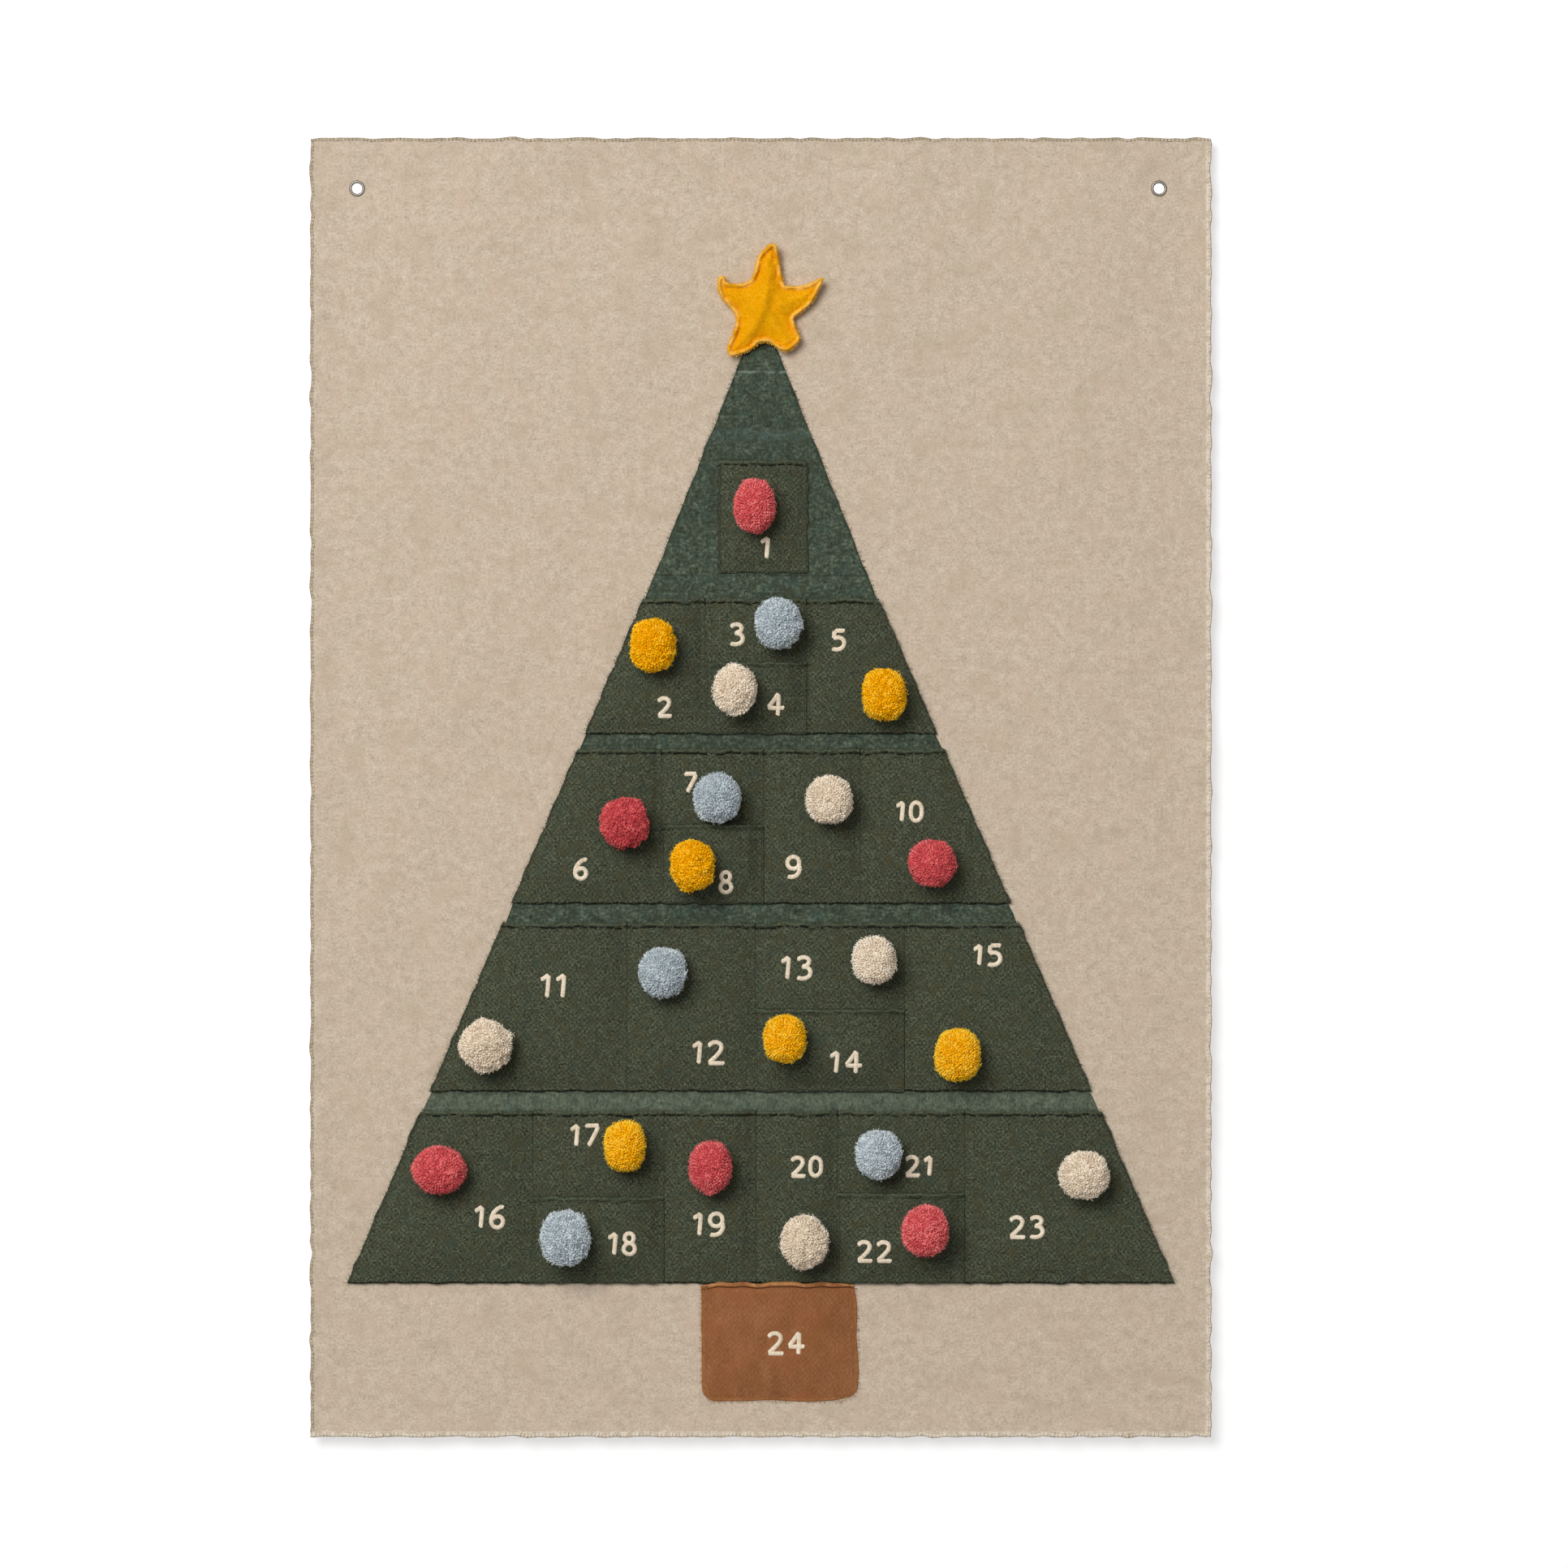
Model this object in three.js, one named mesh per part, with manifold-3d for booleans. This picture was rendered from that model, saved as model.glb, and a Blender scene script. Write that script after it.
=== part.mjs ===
// A cloth advent calendar: a panel that hangs from two eyelets, with a tree of 24 pockets sewn on it,
// a yarn pompom on every pocket but the trunk, and a padded felt star at the top of the tree.
//
// Millimetres. +X is right as seen from the front, +Z is up, and the front faces -Y. The wall is y = 0.
// The origin is on the wall, midway across the panel, level with the eyelets.

import * as THREE from 'three';
import { mergeVertices } from 'three/addons/utils/BufferGeometryUtils.js';
import Module from 'manifold-3d';

const wasm = await Module();
wasm.setup();

// Space left between two layers that touch or are sewn together
const clearance = 0.3;

// The panel: heavy cream cloth, hemmed all round, with an edge that ripples off the wall
const panel = {
  width: 700,
  height: 1010,
  thickness: 2.5,
  rippleWidth: 25,
  rippleRise: 1.4,
  ripplesAcross: 10,
  ripplesUp: 14,
  stepsPerRipple: 4,
};

// Each eyelet is a flanged barrel, rolled over a washer that lies in the back of the cloth
const eyelet = {
  drop: 38.5,
  insetLeft: 35.5,
  insetRight: 40,
  hole: 8,
  wall: 0.7,
  flange: 12.5,
  flangeThickness: 0.9,
  flangeRound: 0.35,
  lip: 10.8,
  lipThickness: 0.4,
  washerThickness: 0.8,
  sides: 24,
};

// The tree: one cloth shape, widest at its foot, with a steeper part above its shoulders
const tree = {
  lift: 119.5,
  footHalf: 320,
  shoulder: 531.8,
  shoulderHalf: 90,
  tip: 725.9,
  tipHalf: 12.4,
  tipRound: 7.6,
  thickness: 1.5,
};

// Pocket cloth. It is cut wider than its place, so that the middle of each pocket stands off the tree.
const pocketCloth = {
  thickness: 1.2,
  slack: 6,
  seamAllowance: 3,
  rise: 32,
  overhang: 1.8,
  seamGap: 0.4,
  stepsAcross: 6,
};

// Rows of pockets from the foot of the tree up. Each is one strip of cloth, closed by upright seams.
// A strip of bare tree shows above each row. The numbers are the days on the pockets, left to right.
const rows = [
  { tall: 130.3, bareAbove: 18.9, seams: [-177.5, -75.5, -4, 59.5, 158.5], days: [16, 17, 19, 20, 21, 23] },
  { tall: 130.3, bareAbove: 15.8, seams: [-104.5, -4.5, 111.5], days: [11, 12, 13, 15] },
  { tall: 119.5, bareAbove: 12.7, seams: [-77.5, 2, 77], days: [6, 7, 9, 10] },
  { tall: 104.3, bareAbove: 20.9, seams: [-43.5, 35.5], days: [2, 3, 5] },
];

// Five pockets carry a lower pocket, which is sewn over their own front
const lowerPockets = {
  3: { day: 4, tall: 55 },
  7: { day: 8, tall: 61 },
  13: { day: 14, tall: 63.3 },
  17: { day: 18, tall: 66.7 },
  21: { day: 22, tall: 69.5 },
};

// The single pocket above the rows, and the trunk, which is a pocket on the panel under the tree
const topPocket = { day: 1, left: -33, right: 36.5, tall: 86.6 };
const trunk = { day: 24, left: -45.8, right: 74.9, tall: 90.2, gapToTree: 1.3, cornerRadius: 11 };

// Pompoms: a ball of yarn on a round of hook tape, which holds on the brushed cloth of its pocket
const hookDot = { diameter: 14, thickness: 1.5 };
const yarnBall = { depth: 34, sides: 12, turns: [48, 24, 0, -24, -48, -70] };

// Each ball is placed from the middle of its pocket and up from the pocket's bottom seam
const pompoms = {
  1: { yarn: 'red', across: -6.5, up: 50.6, wide: 33.5, tall: 44.3 },
  2: { yarn: 'yellow', across: -7.8, up: 67.6, wide: 36.7, tall: 44.3 },
  3: { yarn: 'blue', across: 17.6, up: 84.7, wide: 37.9, tall: 42.4 },
  4: { yarn: 'white', across: -15.9, up: 33.5, wide: 36, tall: 41.7 },
  5: { yarn: 'yellow', across: 15.7, up: 29.7, wide: 35.4, tall: 43 },
  6: { yarn: 'red', across: 16.7, up: 62.6, wide: 38.6, tall: 41.7 },
  7: { yarn: 'blue', across: 3.9, up: 82.2, wide: 37.9, tall: 41.1 },
  8: { yarn: 'yellow', across: -15.1, up: 29.7, wide: 36, tall: 41.7 },
  9: { yarn: 'white', across: 13.3, up: 80.3, wide: 37.9, tall: 40.5 },
  10: { yarn: 'red', across: 3.9, up: 31, wide: 38.6, tall: 39.2 },
  11: { yarn: 'white', across: -39.8, up: 35.5, wide: 42.4, tall: 42.4 },
  12: { yarn: 'blue', across: -21.7, up: 92.4, wide: 37.9, tall: 41.7 },
  13: { yarn: 'white', across: 34.1, up: 101.9, wide: 36, tall: 39.8 },
  14: { yarn: 'yellow', across: -34.8, up: 41.1, wide: 34.8, tall: 39.8 },
  15: { yarn: 'yellow', across: -25.9, up: 28.5, wide: 36.7, tall: 43 },
  16: { yarn: 'red', across: -18.6, up: 88.5, wide: 43, tall: 40.5 },
  17: { yarn: 'yellow', across: 21.2, up: 106.9, wide: 33.5, tall: 41.7 },
  18: { yarn: 'blue', across: -24.9, up: 36.1, wide: 40.5, tall: 45.5 },
  19: { yarn: 'red', across: 0.9, up: 91.1, wide: 35.4, tall: 42.4 },
  20: { yarn: 'white', across: 6.1, up: 32.9, wide: 38.6, tall: 44.3 },
  21: { yarn: 'blue', across: -17.6, up: 100.6, wide: 37.9, tall: 41.7 },
  22: { yarn: 'red', across: 18.4, up: 41.7, wide: 37.9, tall: 43 },
  23: { yarn: 'white', across: 28.5, up: 84.7, wide: 40.5, tall: 39.8 },
};

// The star: five arms as [reach from the centre, bearing in degrees anticlockwise from the right].
// The hollow that follows each arm is given in the same way.
const star = {
  aboveTip: 36,
  across: 5.4,
  arms: [[46.4, 85.3], [43.5, 152.2], [51.1, 233.5], [38.8, 304.6], [47.6, 23.5]],
  hollows: [[21.5, 126.1], [25.3, 190], [32.8, 266], [22.7, 329.8], [18.7, 45.4]],
  armRound: 0.16,
  hollowRound: 0.3,
  backThickness: 2,
  rimThickness: 2.5,
  crown: 6,
  crownSteps: [[0.86, 0.35], [0.62, 0.75], [0.3, 0.95]],
  stepsPerCorner: 3,
};

// Finishes, with the colours that the cloth, yarn and metal show
const finish = (color, roughness, metalness = 0) => () =>
  new THREE.MeshStandardMaterial({ color, roughness, metalness });

const finishes = {
  creamCloth: finish('#cbb9a6', 0.95),
  treeCloth: finish('#4a5246', 0.95),
  pocketCloth: finish('#474b3a', 0.92),
  trunkCloth: finish('#8f5e3e', 0.92),
  felt: finish('#e4a012', 0.9),
  nickel: finish('#c9c9c7', 0.3, 1),
  red: finish('#b2444a', 1),
  yellow: finish('#dd9a1a', 1),
  blue: finish('#97a5ad', 1),
  white: finish('#cdbfa8', 1),
};

const calendar = new THREE.Group();

function addPiece(parent, name, geometry, finishName) {
  const mesh = new THREE.Mesh(geometry, finishes[finishName]());
  mesh.name = name;
  parent.add(mesh);
  return mesh;
}

function addGroup(parent, x, y, z) {
  const group = new THREE.Group();
  group.position.set(x, y, z);
  parent.add(group);
  return group;
}

const twoDigits = (day) => String(day).padStart(2, '0');

// Shared geometry makers

function indexedGeometry(points, faces) {
  const geometry = new THREE.BufferGeometry().setFromPoints(points);
  geometry.setIndex(faces);
  geometry.computeVertexNormals();
  return geometry;
}

// A closed body through rings of equal count, listed from the back to the front. Each ring goes
// anticlockwise as seen from the front, and the first and the last are closed to a middle point.
function loft(rings, backMiddle, frontMiddle) {
  const count = rings[0].length;
  const points = [...rings.flat(), backMiddle, frontMiddle];
  const back = points.length - 2;
  const front = points.length - 1;
  const lastRing = (rings.length - 1) * count;
  const faces = [];
  for (let i = 0; i < count; i += 1) {
    const next = (i + 1) % count;
    for (let ring = 0; ring < rings.length - 1; ring += 1) {
      const here = ring * count;
      const ahead = here + count;
      faces.push(here + i, here + next, ahead + next, here + i, ahead + next, ahead + i);
    }
    faces.push(back, next, i, front, lastRing + i, lastRing + next);
  }
  return indexedGeometry(points, faces);
}

// A closed sheet between two grids of points. Their rows go up, and each row goes from left to right.
function sheet(backGrid, frontGrid) {
  const up = backGrid.length - 1;
  const across = backGrid[0].length - 1;
  const points = [...backGrid.flat(), ...frontGrid.flat()];
  const back = (row, column) => row * (across + 1) + column;
  const front = (row, column) => (up + 1) * (across + 1) + back(row, column);
  const faces = [];
  const quad = (a, b, c, d) => faces.push(a, b, c, a, c, d);
  for (let row = 0; row < up; row += 1) {
    for (let column = 0; column < across; column += 1) {
      quad(front(row, column), front(row, column + 1), front(row + 1, column + 1), front(row + 1, column));
      quad(back(row, column), back(row + 1, column), back(row + 1, column + 1), back(row, column + 1));
    }
    quad(back(row, across), back(row + 1, across), front(row + 1, across), front(row, across));
    quad(back(row + 1, 0), back(row, 0), front(row, 0), front(row + 1, 0));
  }
  for (let column = 0; column < across; column += 1) {
    quad(back(0, column), back(0, column + 1), front(0, column + 1), front(0, column));
    quad(back(up, column + 1), back(up, column), front(up, column), front(up, column + 1));
  }
  return indexedGeometry(points, faces);
}

function toSolid(geometry) {
  const bare = geometry.clone();
  bare.deleteAttribute('normal');
  bare.deleteAttribute('uv');
  const merged = mergeVertices(bare);
  return new wasm.Manifold(new wasm.Mesh({
    numProp: 3,
    vertProperties: new Float32Array(merged.attributes.position.array),
    triVerts: new Uint32Array(merged.index.array),
  }));
}

function toGeometry(solid) {
  const mesh = solid.getMesh();
  const geometry = new THREE.BufferGeometry();
  geometry.setAttribute('position', new THREE.BufferAttribute(mesh.vertProperties, mesh.numProp));
  geometry.setIndex(new THREE.BufferAttribute(mesh.triVerts, 1));
  geometry.computeVertexNormals();
  return geometry;
}

// The panel and its eyelets

const panelBottom = eyelet.drop - panel.height;
const panelFront = -panel.thickness;

const eyelets = {
  left: eyelet.insetLeft - panel.width / 2,
  right: panel.width / 2 - eyelet.insetRight,
};
const barrelRadius = eyelet.hole / 2 + eyelet.wall;

// One walk round the edge of the panel. A ripple starts and ends at every corner.
function panelEdge() {
  const halfWidth = panel.width / 2;
  const halfHeight = panel.height / 2;
  const corners = [[-halfWidth, -halfHeight], [halfWidth, -halfHeight], [halfWidth, halfHeight], [-halfWidth, halfHeight]];
  const edge = [];
  corners.forEach((start, side) => {
    const end = corners[(side + 1) % corners.length];
    const ripples = side % 2 === 0 ? panel.ripplesAcross : panel.ripplesUp;
    const steps = ripples * panel.stepsPerRipple;
    for (let step = 0; step < steps; step += 1) {
      const part = step / steps;
      const wave = (1 - Math.cos(2 * Math.PI * ripples * part)) / 2;
      edge.push({
        x: THREE.MathUtils.lerp(start[0], end[0], part),
        z: THREE.MathUtils.lerp(start[1], end[1], part),
        rise: panel.rippleRise * wave,
      });
    }
  });
  return edge;
}

function panelGeometry() {
  const middle = panelBottom + panel.height / 2;
  const inwardX = 1 - panel.rippleWidth / (panel.width / 2);
  const inwardZ = 1 - panel.rippleWidth / (panel.height / 2);
  const edge = panelEdge();
  const rim = (y) => edge.map((p) => new THREE.Vector3(p.x, y - p.rise, middle + p.z));
  const flat = (y) => edge.map((p) => new THREE.Vector3(p.x * inwardX, y, middle + p.z * inwardZ));
  const rings = [flat(0), rim(0), rim(panelFront), flat(panelFront)];
  return loft(rings, new THREE.Vector3(0, 0, middle), new THREE.Vector3(0, panelFront, middle));
}

// A round cut along Y, from one depth behind the front of the cloth to another
function roundCut(x, radius, from, to) {
  const cut = new THREE.CylinderGeometry(radius, radius, from - to, eyelet.sides);
  cut.translate(x, (from + to) / 2, 0);
  return toSolid(cut);
}

function addPanel() {
  const past = 1;
  const washerSeat = -(eyelet.lipThickness + eyelet.washerThickness + clearance);
  let cloth = toSolid(panelGeometry());
  for (const x of Object.values(eyelets)) {
    cloth = cloth.subtract(roundCut(x, barrelRadius + clearance, past, panelFront - past));
    cloth = cloth.subtract(roundCut(x, eyelet.flange / 2 + clearance, past, washerSeat));
  }
  addPiece(calendar, 'backing_panel', toGeometry(cloth), 'creamCloth');
}

// A ring turned about Y, from points given as [radius, y] round its section
function turned(section) {
  const points = section.map(([radius, y]) => new THREE.Vector2(radius, y));
  return new THREE.LatheGeometry([...points, points[0].clone()], eyelet.sides);
}

function addEyelet(side, x) {
  const bore = eyelet.hole / 2;
  const flange = eyelet.flange / 2;
  const lip = eyelet.lip / 2;
  const flangeBack = panelFront - clearance;
  const flangeFront = flangeBack - eyelet.flangeThickness;
  const barrel = turned([
    [bore, 0],
    [bore, flangeFront + eyelet.flangeRound],
    [bore + eyelet.flangeRound, flangeFront],
    [flange - eyelet.flangeRound, flangeFront],
    [flange, flangeFront + eyelet.flangeRound],
    [flange, flangeBack],
    [barrelRadius, flangeBack],
    [barrelRadius, -eyelet.lipThickness],
    [lip, -eyelet.lipThickness],
    [lip, 0],
  ]);
  const washerBack = -eyelet.lipThickness - clearance / 2;
  const washer = turned([
    [barrelRadius + clearance, washerBack],
    [barrelRadius + clearance, washerBack - eyelet.washerThickness],
    [flange, washerBack - eyelet.washerThickness],
    [flange, washerBack],
  ]);
  addPiece(calendar, `eyelet_${side}`, barrel, 'nickel').position.x = x;
  addPiece(calendar, `eyelet_washer_${side}`, washer, 'nickel').position.x = x;
}

// The tree

const treeBottom = panelBottom + tree.lift;
const treeBack = panelFront - clearance;
const treeFront = treeBack - tree.thickness;

function treeHalfWidth(height) {
  if (height < tree.shoulder) {
    return THREE.MathUtils.mapLinear(height, 0, tree.shoulder, tree.footHalf, tree.shoulderHalf);
  }
  return THREE.MathUtils.mapLinear(height, tree.shoulder, tree.tip, tree.shoulderHalf, tree.tipHalf);
}

function addTree() {
  const outline = new THREE.Shape();
  outline.moveTo(-tree.footHalf, 0);
  outline.lineTo(tree.footHalf, 0);
  outline.lineTo(tree.shoulderHalf, tree.shoulder);
  outline.lineTo(tree.tipHalf, tree.tip);
  outline.quadraticCurveTo(0, tree.tip + 2 * tree.tipRound, -tree.tipHalf, tree.tip);
  outline.lineTo(-tree.shoulderHalf, tree.shoulder);
  const cloth = new THREE.ExtrudeGeometry(outline, { depth: tree.thickness, bevelEnabled: false, curveSegments: 6 });
  cloth.rotateX(Math.PI / 2);
  addPiece(calendar, 'tree_panel', cloth, 'treeCloth').position.set(0, treeBack, treeBottom);
}

// Pockets. Heights are measured from a pocket's bottom seam, and depths from the cloth behind it.

// How far the cloth has swelled at a place, from 0 at the seams to 1 in the middle of the pocket
function swell(pocket, x, height) {
  const left = pocket.left(height) + pocketCloth.seamAllowance;
  const right = pocket.right(height) - pocketCloth.seamAllowance;
  const part = THREE.MathUtils.clamp((x - left) / (right - left), 0, 1);
  const climb = THREE.MathUtils.clamp((height - pocketCloth.seamAllowance) / pocketCloth.rise, 0, 1);
  return (1 - Math.abs(2 * part - 1) ** 4) * (1 - (1 - climb) ** 2);
}

// Depth of the back of the pocket's cloth. A lower pocket lies over the cloth of the one that carries it.
function backDepth(pocket, x, height) {
  const space = clearance + pocketCloth.slack * swell(pocket, x, height);
  return pocket.layer * pocketCloth.thickness + (pocket.layer + 1) * space;
}

// Columns of one row of points: the two seam allowances, and closer steps where the cloth turns
function columnsAt(pocket, height) {
  const left = pocket.left(height);
  const right = pocket.right(height);
  const inner = right - left - 2 * pocketCloth.seamAllowance;
  const columns = [left];
  for (let step = 0; step <= pocketCloth.stepsAcross; step += 1) {
    const part = (1 - Math.cos(Math.PI * step / pocketCloth.stepsAcross)) / 2;
    columns.push(left + pocketCloth.seamAllowance + inner * part);
  }
  return [...columns, right];
}

// Heights of the rows of points: the seam allowance, three steps up the swell, and the top
function rowsBetween(from, to) {
  const steps = [0, 0.3, 0.6, 1].map((part) => pocketCloth.seamAllowance + pocketCloth.rise * part);
  return [from, ...steps.filter((height) => height > from && height < to), to];
}

function pocketGeometry(pocket, from, to) {
  const grid = (extra) => rowsBetween(from, to).map((height) => columnsAt(pocket, height).map(
    (x) => new THREE.Vector3(x, -backDepth(pocket, x, height) - extra, height),
  ));
  return sheet(grid(0), grid(pocketCloth.thickness));
}

// A ball stands off the cloth by the highest place under its round of hook tape
function pompomSeat(pocket, x, height) {
  const reach = hookDot.diameter / 2;
  const under = [[0, 0], [reach, 0], [-reach, 0], [0, reach], [0, -reach]];
  const depths = under.map(([dx, dz]) => backDepth(pocket, x + dx, height + dz));
  return Math.max(...depths) + pocketCloth.thickness + clearance;
}

// A ring of points round Y, for one cut through a pompom
function ringOfPoints(halfWidth, halfHeight, y) {
  const ring = [];
  for (let i = 0; i < yarnBall.sides; i += 1) {
    const angle = 2 * Math.PI * i / yarnBall.sides;
    ring.push(new THREE.Vector3(halfWidth * Math.cos(angle), y, halfHeight * Math.sin(angle)));
  }
  return ring;
}

// The ball is flattened where it meets its round of hook tape, which has the same width there
function pompomGeometry({ wide, tall }) {
  const dot = hookDot.diameter / 2;
  const halfDepth = yarnBall.depth / 2;
  const meet = Math.acos(2 * hookDot.diameter / (wide + tall));
  const middle = -hookDot.thickness - halfDepth * Math.sin(meet);
  const rings = [ringOfPoints(dot, dot, 0), ringOfPoints(dot, dot, -hookDot.thickness)];
  for (const degrees of yarnBall.turns) {
    const turn = THREE.MathUtils.degToRad(degrees);
    const y = middle + halfDepth * Math.sin(turn);
    rings.push(ringOfPoints(wide / 2 * Math.cos(turn), tall / 2 * Math.cos(turn), y));
  }
  return loft(rings, new THREE.Vector3(), new THREE.Vector3(0, middle - halfDepth, 0));
}

function addPompom(parent, pocket) {
  const pompom = pompoms[pocket.day];
  if (!pompom) {
    return;
  }
  const x = (pocket.left(pompom.up) + pocket.right(pompom.up)) / 2 + pompom.across;
  const ball = addPiece(parent, `pompom_${twoDigits(pocket.day)}`, pompomGeometry(pompom), pompom.yarn);
  ball.position.set(x, -pompomSeat(pocket, x, pompom.up), pompom.up);
}

// A pocket with nothing sewn on it is one piece. One that carries a lower pocket is cut at that
// pocket's mouth: the part behind it stays put, and the part above it opens.
function addPocket(parent, pocket, finishName = 'pocketCloth') {
  const name = `pocket_${twoDigits(pocket.day)}`;
  const lower = lowerPockets[pocket.day];
  if (pocket.layer === 0 && lower) {
    addPiece(parent, `${name}_lower_front`, pocketGeometry(pocket, 0, lower.tall), finishName);
    addPiece(parent, `${name}_front`, pocketGeometry(pocket, lower.tall + clearance, pocket.tall), finishName);
    addPocket(parent, { ...pocket, day: lower.day, tall: lower.tall, layer: 1 });
  } else {
    addPiece(parent, `${name}_front`, pocketGeometry(pocket, 0, pocket.tall), finishName);
  }
  addPompom(parent, pocket);
}

// A row's outer pockets end just past the slanting edge of the tree, and the others at their seams
function addRow(row, bottom) {
  const parent = addGroup(calendar, 0, treeFront, treeBottom + bottom);
  const outer = (height) => treeHalfWidth(bottom + height) + pocketCloth.overhang;
  row.days.forEach((day, place) => {
    const seamLeft = row.seams[place - 1] + pocketCloth.seamGap / 2;
    const seamRight = row.seams[place] - pocketCloth.seamGap / 2;
    addPocket(parent, {
      day,
      layer: 0,
      tall: row.tall,
      left: place === 0 ? (height) => -outer(height) : () => seamLeft,
      right: place === row.seams.length ? outer : () => seamRight,
    });
  });
}

function addPockets() {
  let bottom = 0;
  for (const row of rows) {
    addRow(row, bottom);
    bottom += row.tall + row.bareAbove;
  }
  addPocket(addGroup(calendar, 0, treeFront, treeBottom + bottom), {
    ...topPocket,
    layer: 0,
    left: () => topPocket.left,
    right: () => topPocket.right,
  });
}

function addTrunk() {
  const radius = trunk.cornerRadius;
  const roundedBy = (height) => radius - Math.sqrt(radius ** 2 - Math.max(radius - height, 0) ** 2);
  const bottom = treeBottom - trunk.gapToTree - trunk.tall;
  addPocket(addGroup(calendar, 0, panelFront, bottom), {
    ...trunk,
    layer: 0,
    left: (height) => trunk.left + roundedBy(height),
    right: (height) => trunk.right - roundedBy(height),
  }, 'trunkCloth');
}

// The star: a flat back with a round of hook tape, and a front that is padded up to a crown

// The outline as [x, z] from the star's centre, with each corner rounded between its neighbours
function starOutline() {
  const toPoint = ([reach, bearing]) => {
    const angle = THREE.MathUtils.degToRad(bearing);
    return new THREE.Vector2(reach * Math.cos(angle), reach * Math.sin(angle));
  };
  const corners = star.arms.flatMap((arm, i) => [toPoint(arm), toPoint(star.hollows[i])]);
  return corners.flatMap((corner, i) => {
    const before = corners[(i + corners.length - 1) % corners.length];
    const after = corners[(i + 1) % corners.length];
    const round = i % 2 === 0 ? star.armRound : star.hollowRound;
    const curve = new THREE.QuadraticBezierCurve(
      corner.clone().lerp(before, round),
      corner,
      corner.clone().lerp(after, round),
    );
    return curve.getPoints(star.stepsPerCorner - 1);
  });
}

function addStar() {
  const outline = starOutline();
  const tape = treeFront - clearance - treeBack;
  const group = addGroup(calendar, star.across, treeBack, treeBottom + tree.tip + star.aboveTip);
  const ring = (y, size = 1) => outline.map((p) => new THREE.Vector3(p.x * size, y, p.y * size));

  const backFront = tape - star.backThickness;
  const felt = toSolid(loft(
    [ring(tape), ring(backFront)],
    new THREE.Vector3(0, tape, 0),
    new THREE.Vector3(0, backFront, 0),
  ));
  const dotDepth = -tape + star.backThickness / 2;
  const dot = new THREE.CylinderGeometry(hookDot.diameter / 2, hookDot.diameter / 2, dotDepth, eyelet.sides);
  dot.translate(0, -dotDepth / 2, 0);
  addPiece(group, 'star_back_felt', toGeometry(felt.add(toSolid(dot))), 'felt');

  const padBack = backFront - clearance;
  const padRim = padBack - star.rimThickness;
  const crown = star.crownSteps.map(([size, rise]) => ring(padRim - star.crown * rise, size));
  const pad = loft(
    [ring(padBack), ring(padRim), ...crown],
    new THREE.Vector3(0, padBack, 0),
    new THREE.Vector3(0, padRim - star.crown, 0),
  );
  addPiece(group, 'star_front_felt', pad, 'felt');
}

addPanel();
for (const [side, x] of Object.entries(eyelets)) {
  addEyelet(side, x);
}
addTree();
addPockets();
addTrunk();
addStar();

export default calendar;
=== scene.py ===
"""A cloth advent calendar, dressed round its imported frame.

The real one is a heavy brushed panel that hangs from two eyelets. A cloth tree is sewn on it, with 23
numbered pockets, and its trunk is the 24th. A ball of cut yarn holds on every pocket but the trunk, and
a padded felt star sits at the top of the tree.

Lengths in the fields below are millimetres. They become metres where a mesh is made.
"""

import logging
import math
from dataclasses import KW_ONLY, dataclass
from enum import Enum
from functools import partial
from typing import Callable, Sequence

import bpy
import numpy as np
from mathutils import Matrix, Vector
from mathutils.geometry import delaunay_2d_cdt


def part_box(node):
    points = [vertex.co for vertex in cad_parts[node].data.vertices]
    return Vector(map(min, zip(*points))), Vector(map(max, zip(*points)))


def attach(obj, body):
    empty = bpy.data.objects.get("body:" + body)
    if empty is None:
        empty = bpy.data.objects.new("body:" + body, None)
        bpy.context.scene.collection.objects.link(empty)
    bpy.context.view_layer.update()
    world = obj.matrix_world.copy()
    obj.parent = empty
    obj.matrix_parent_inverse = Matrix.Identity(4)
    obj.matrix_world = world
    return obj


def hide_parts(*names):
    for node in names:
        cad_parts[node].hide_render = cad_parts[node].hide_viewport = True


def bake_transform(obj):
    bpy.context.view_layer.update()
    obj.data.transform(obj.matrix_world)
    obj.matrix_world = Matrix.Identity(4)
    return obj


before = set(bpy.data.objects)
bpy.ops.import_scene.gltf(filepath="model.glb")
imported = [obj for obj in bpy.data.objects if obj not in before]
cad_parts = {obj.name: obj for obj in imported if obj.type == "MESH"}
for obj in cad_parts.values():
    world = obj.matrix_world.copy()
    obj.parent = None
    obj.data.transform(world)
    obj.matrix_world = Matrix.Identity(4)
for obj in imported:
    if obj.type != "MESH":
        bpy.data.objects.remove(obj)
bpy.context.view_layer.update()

MM = 0.001
# The flat cut of each cloth, as its UV map
CUT_MAP = "cut"
# What each corner carries for its finish: its distance from an edge, its height, or its thread's own tone
HEM = "hem"
MOUTH = "mouth"
SEAM = "seam"
PALE_HEM = "pale_hem"
RISE = "rise"
TONE = "tone"
# A distance from an edge that no finish looks past
FAR = 50.0
MATH = "ShaderNodeMath"
VECTOR_MATH = "ShaderNodeVectorMath"
NOISE = "ShaderNodeTexNoise"
RANGE = "ShaderNodeMapRange"

log = logging.getLogger("calendar")

Points = np.ndarray
Path = Sequence[Sequence[float]]
Piece = bpy.types.Object
Material = bpy.types.Material
Nodes = bpy.types.NodeTree
Feed = bpy.types.Node | bpy.types.NodeSocket


# Helpers for colour, nodes and smooth chance


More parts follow.
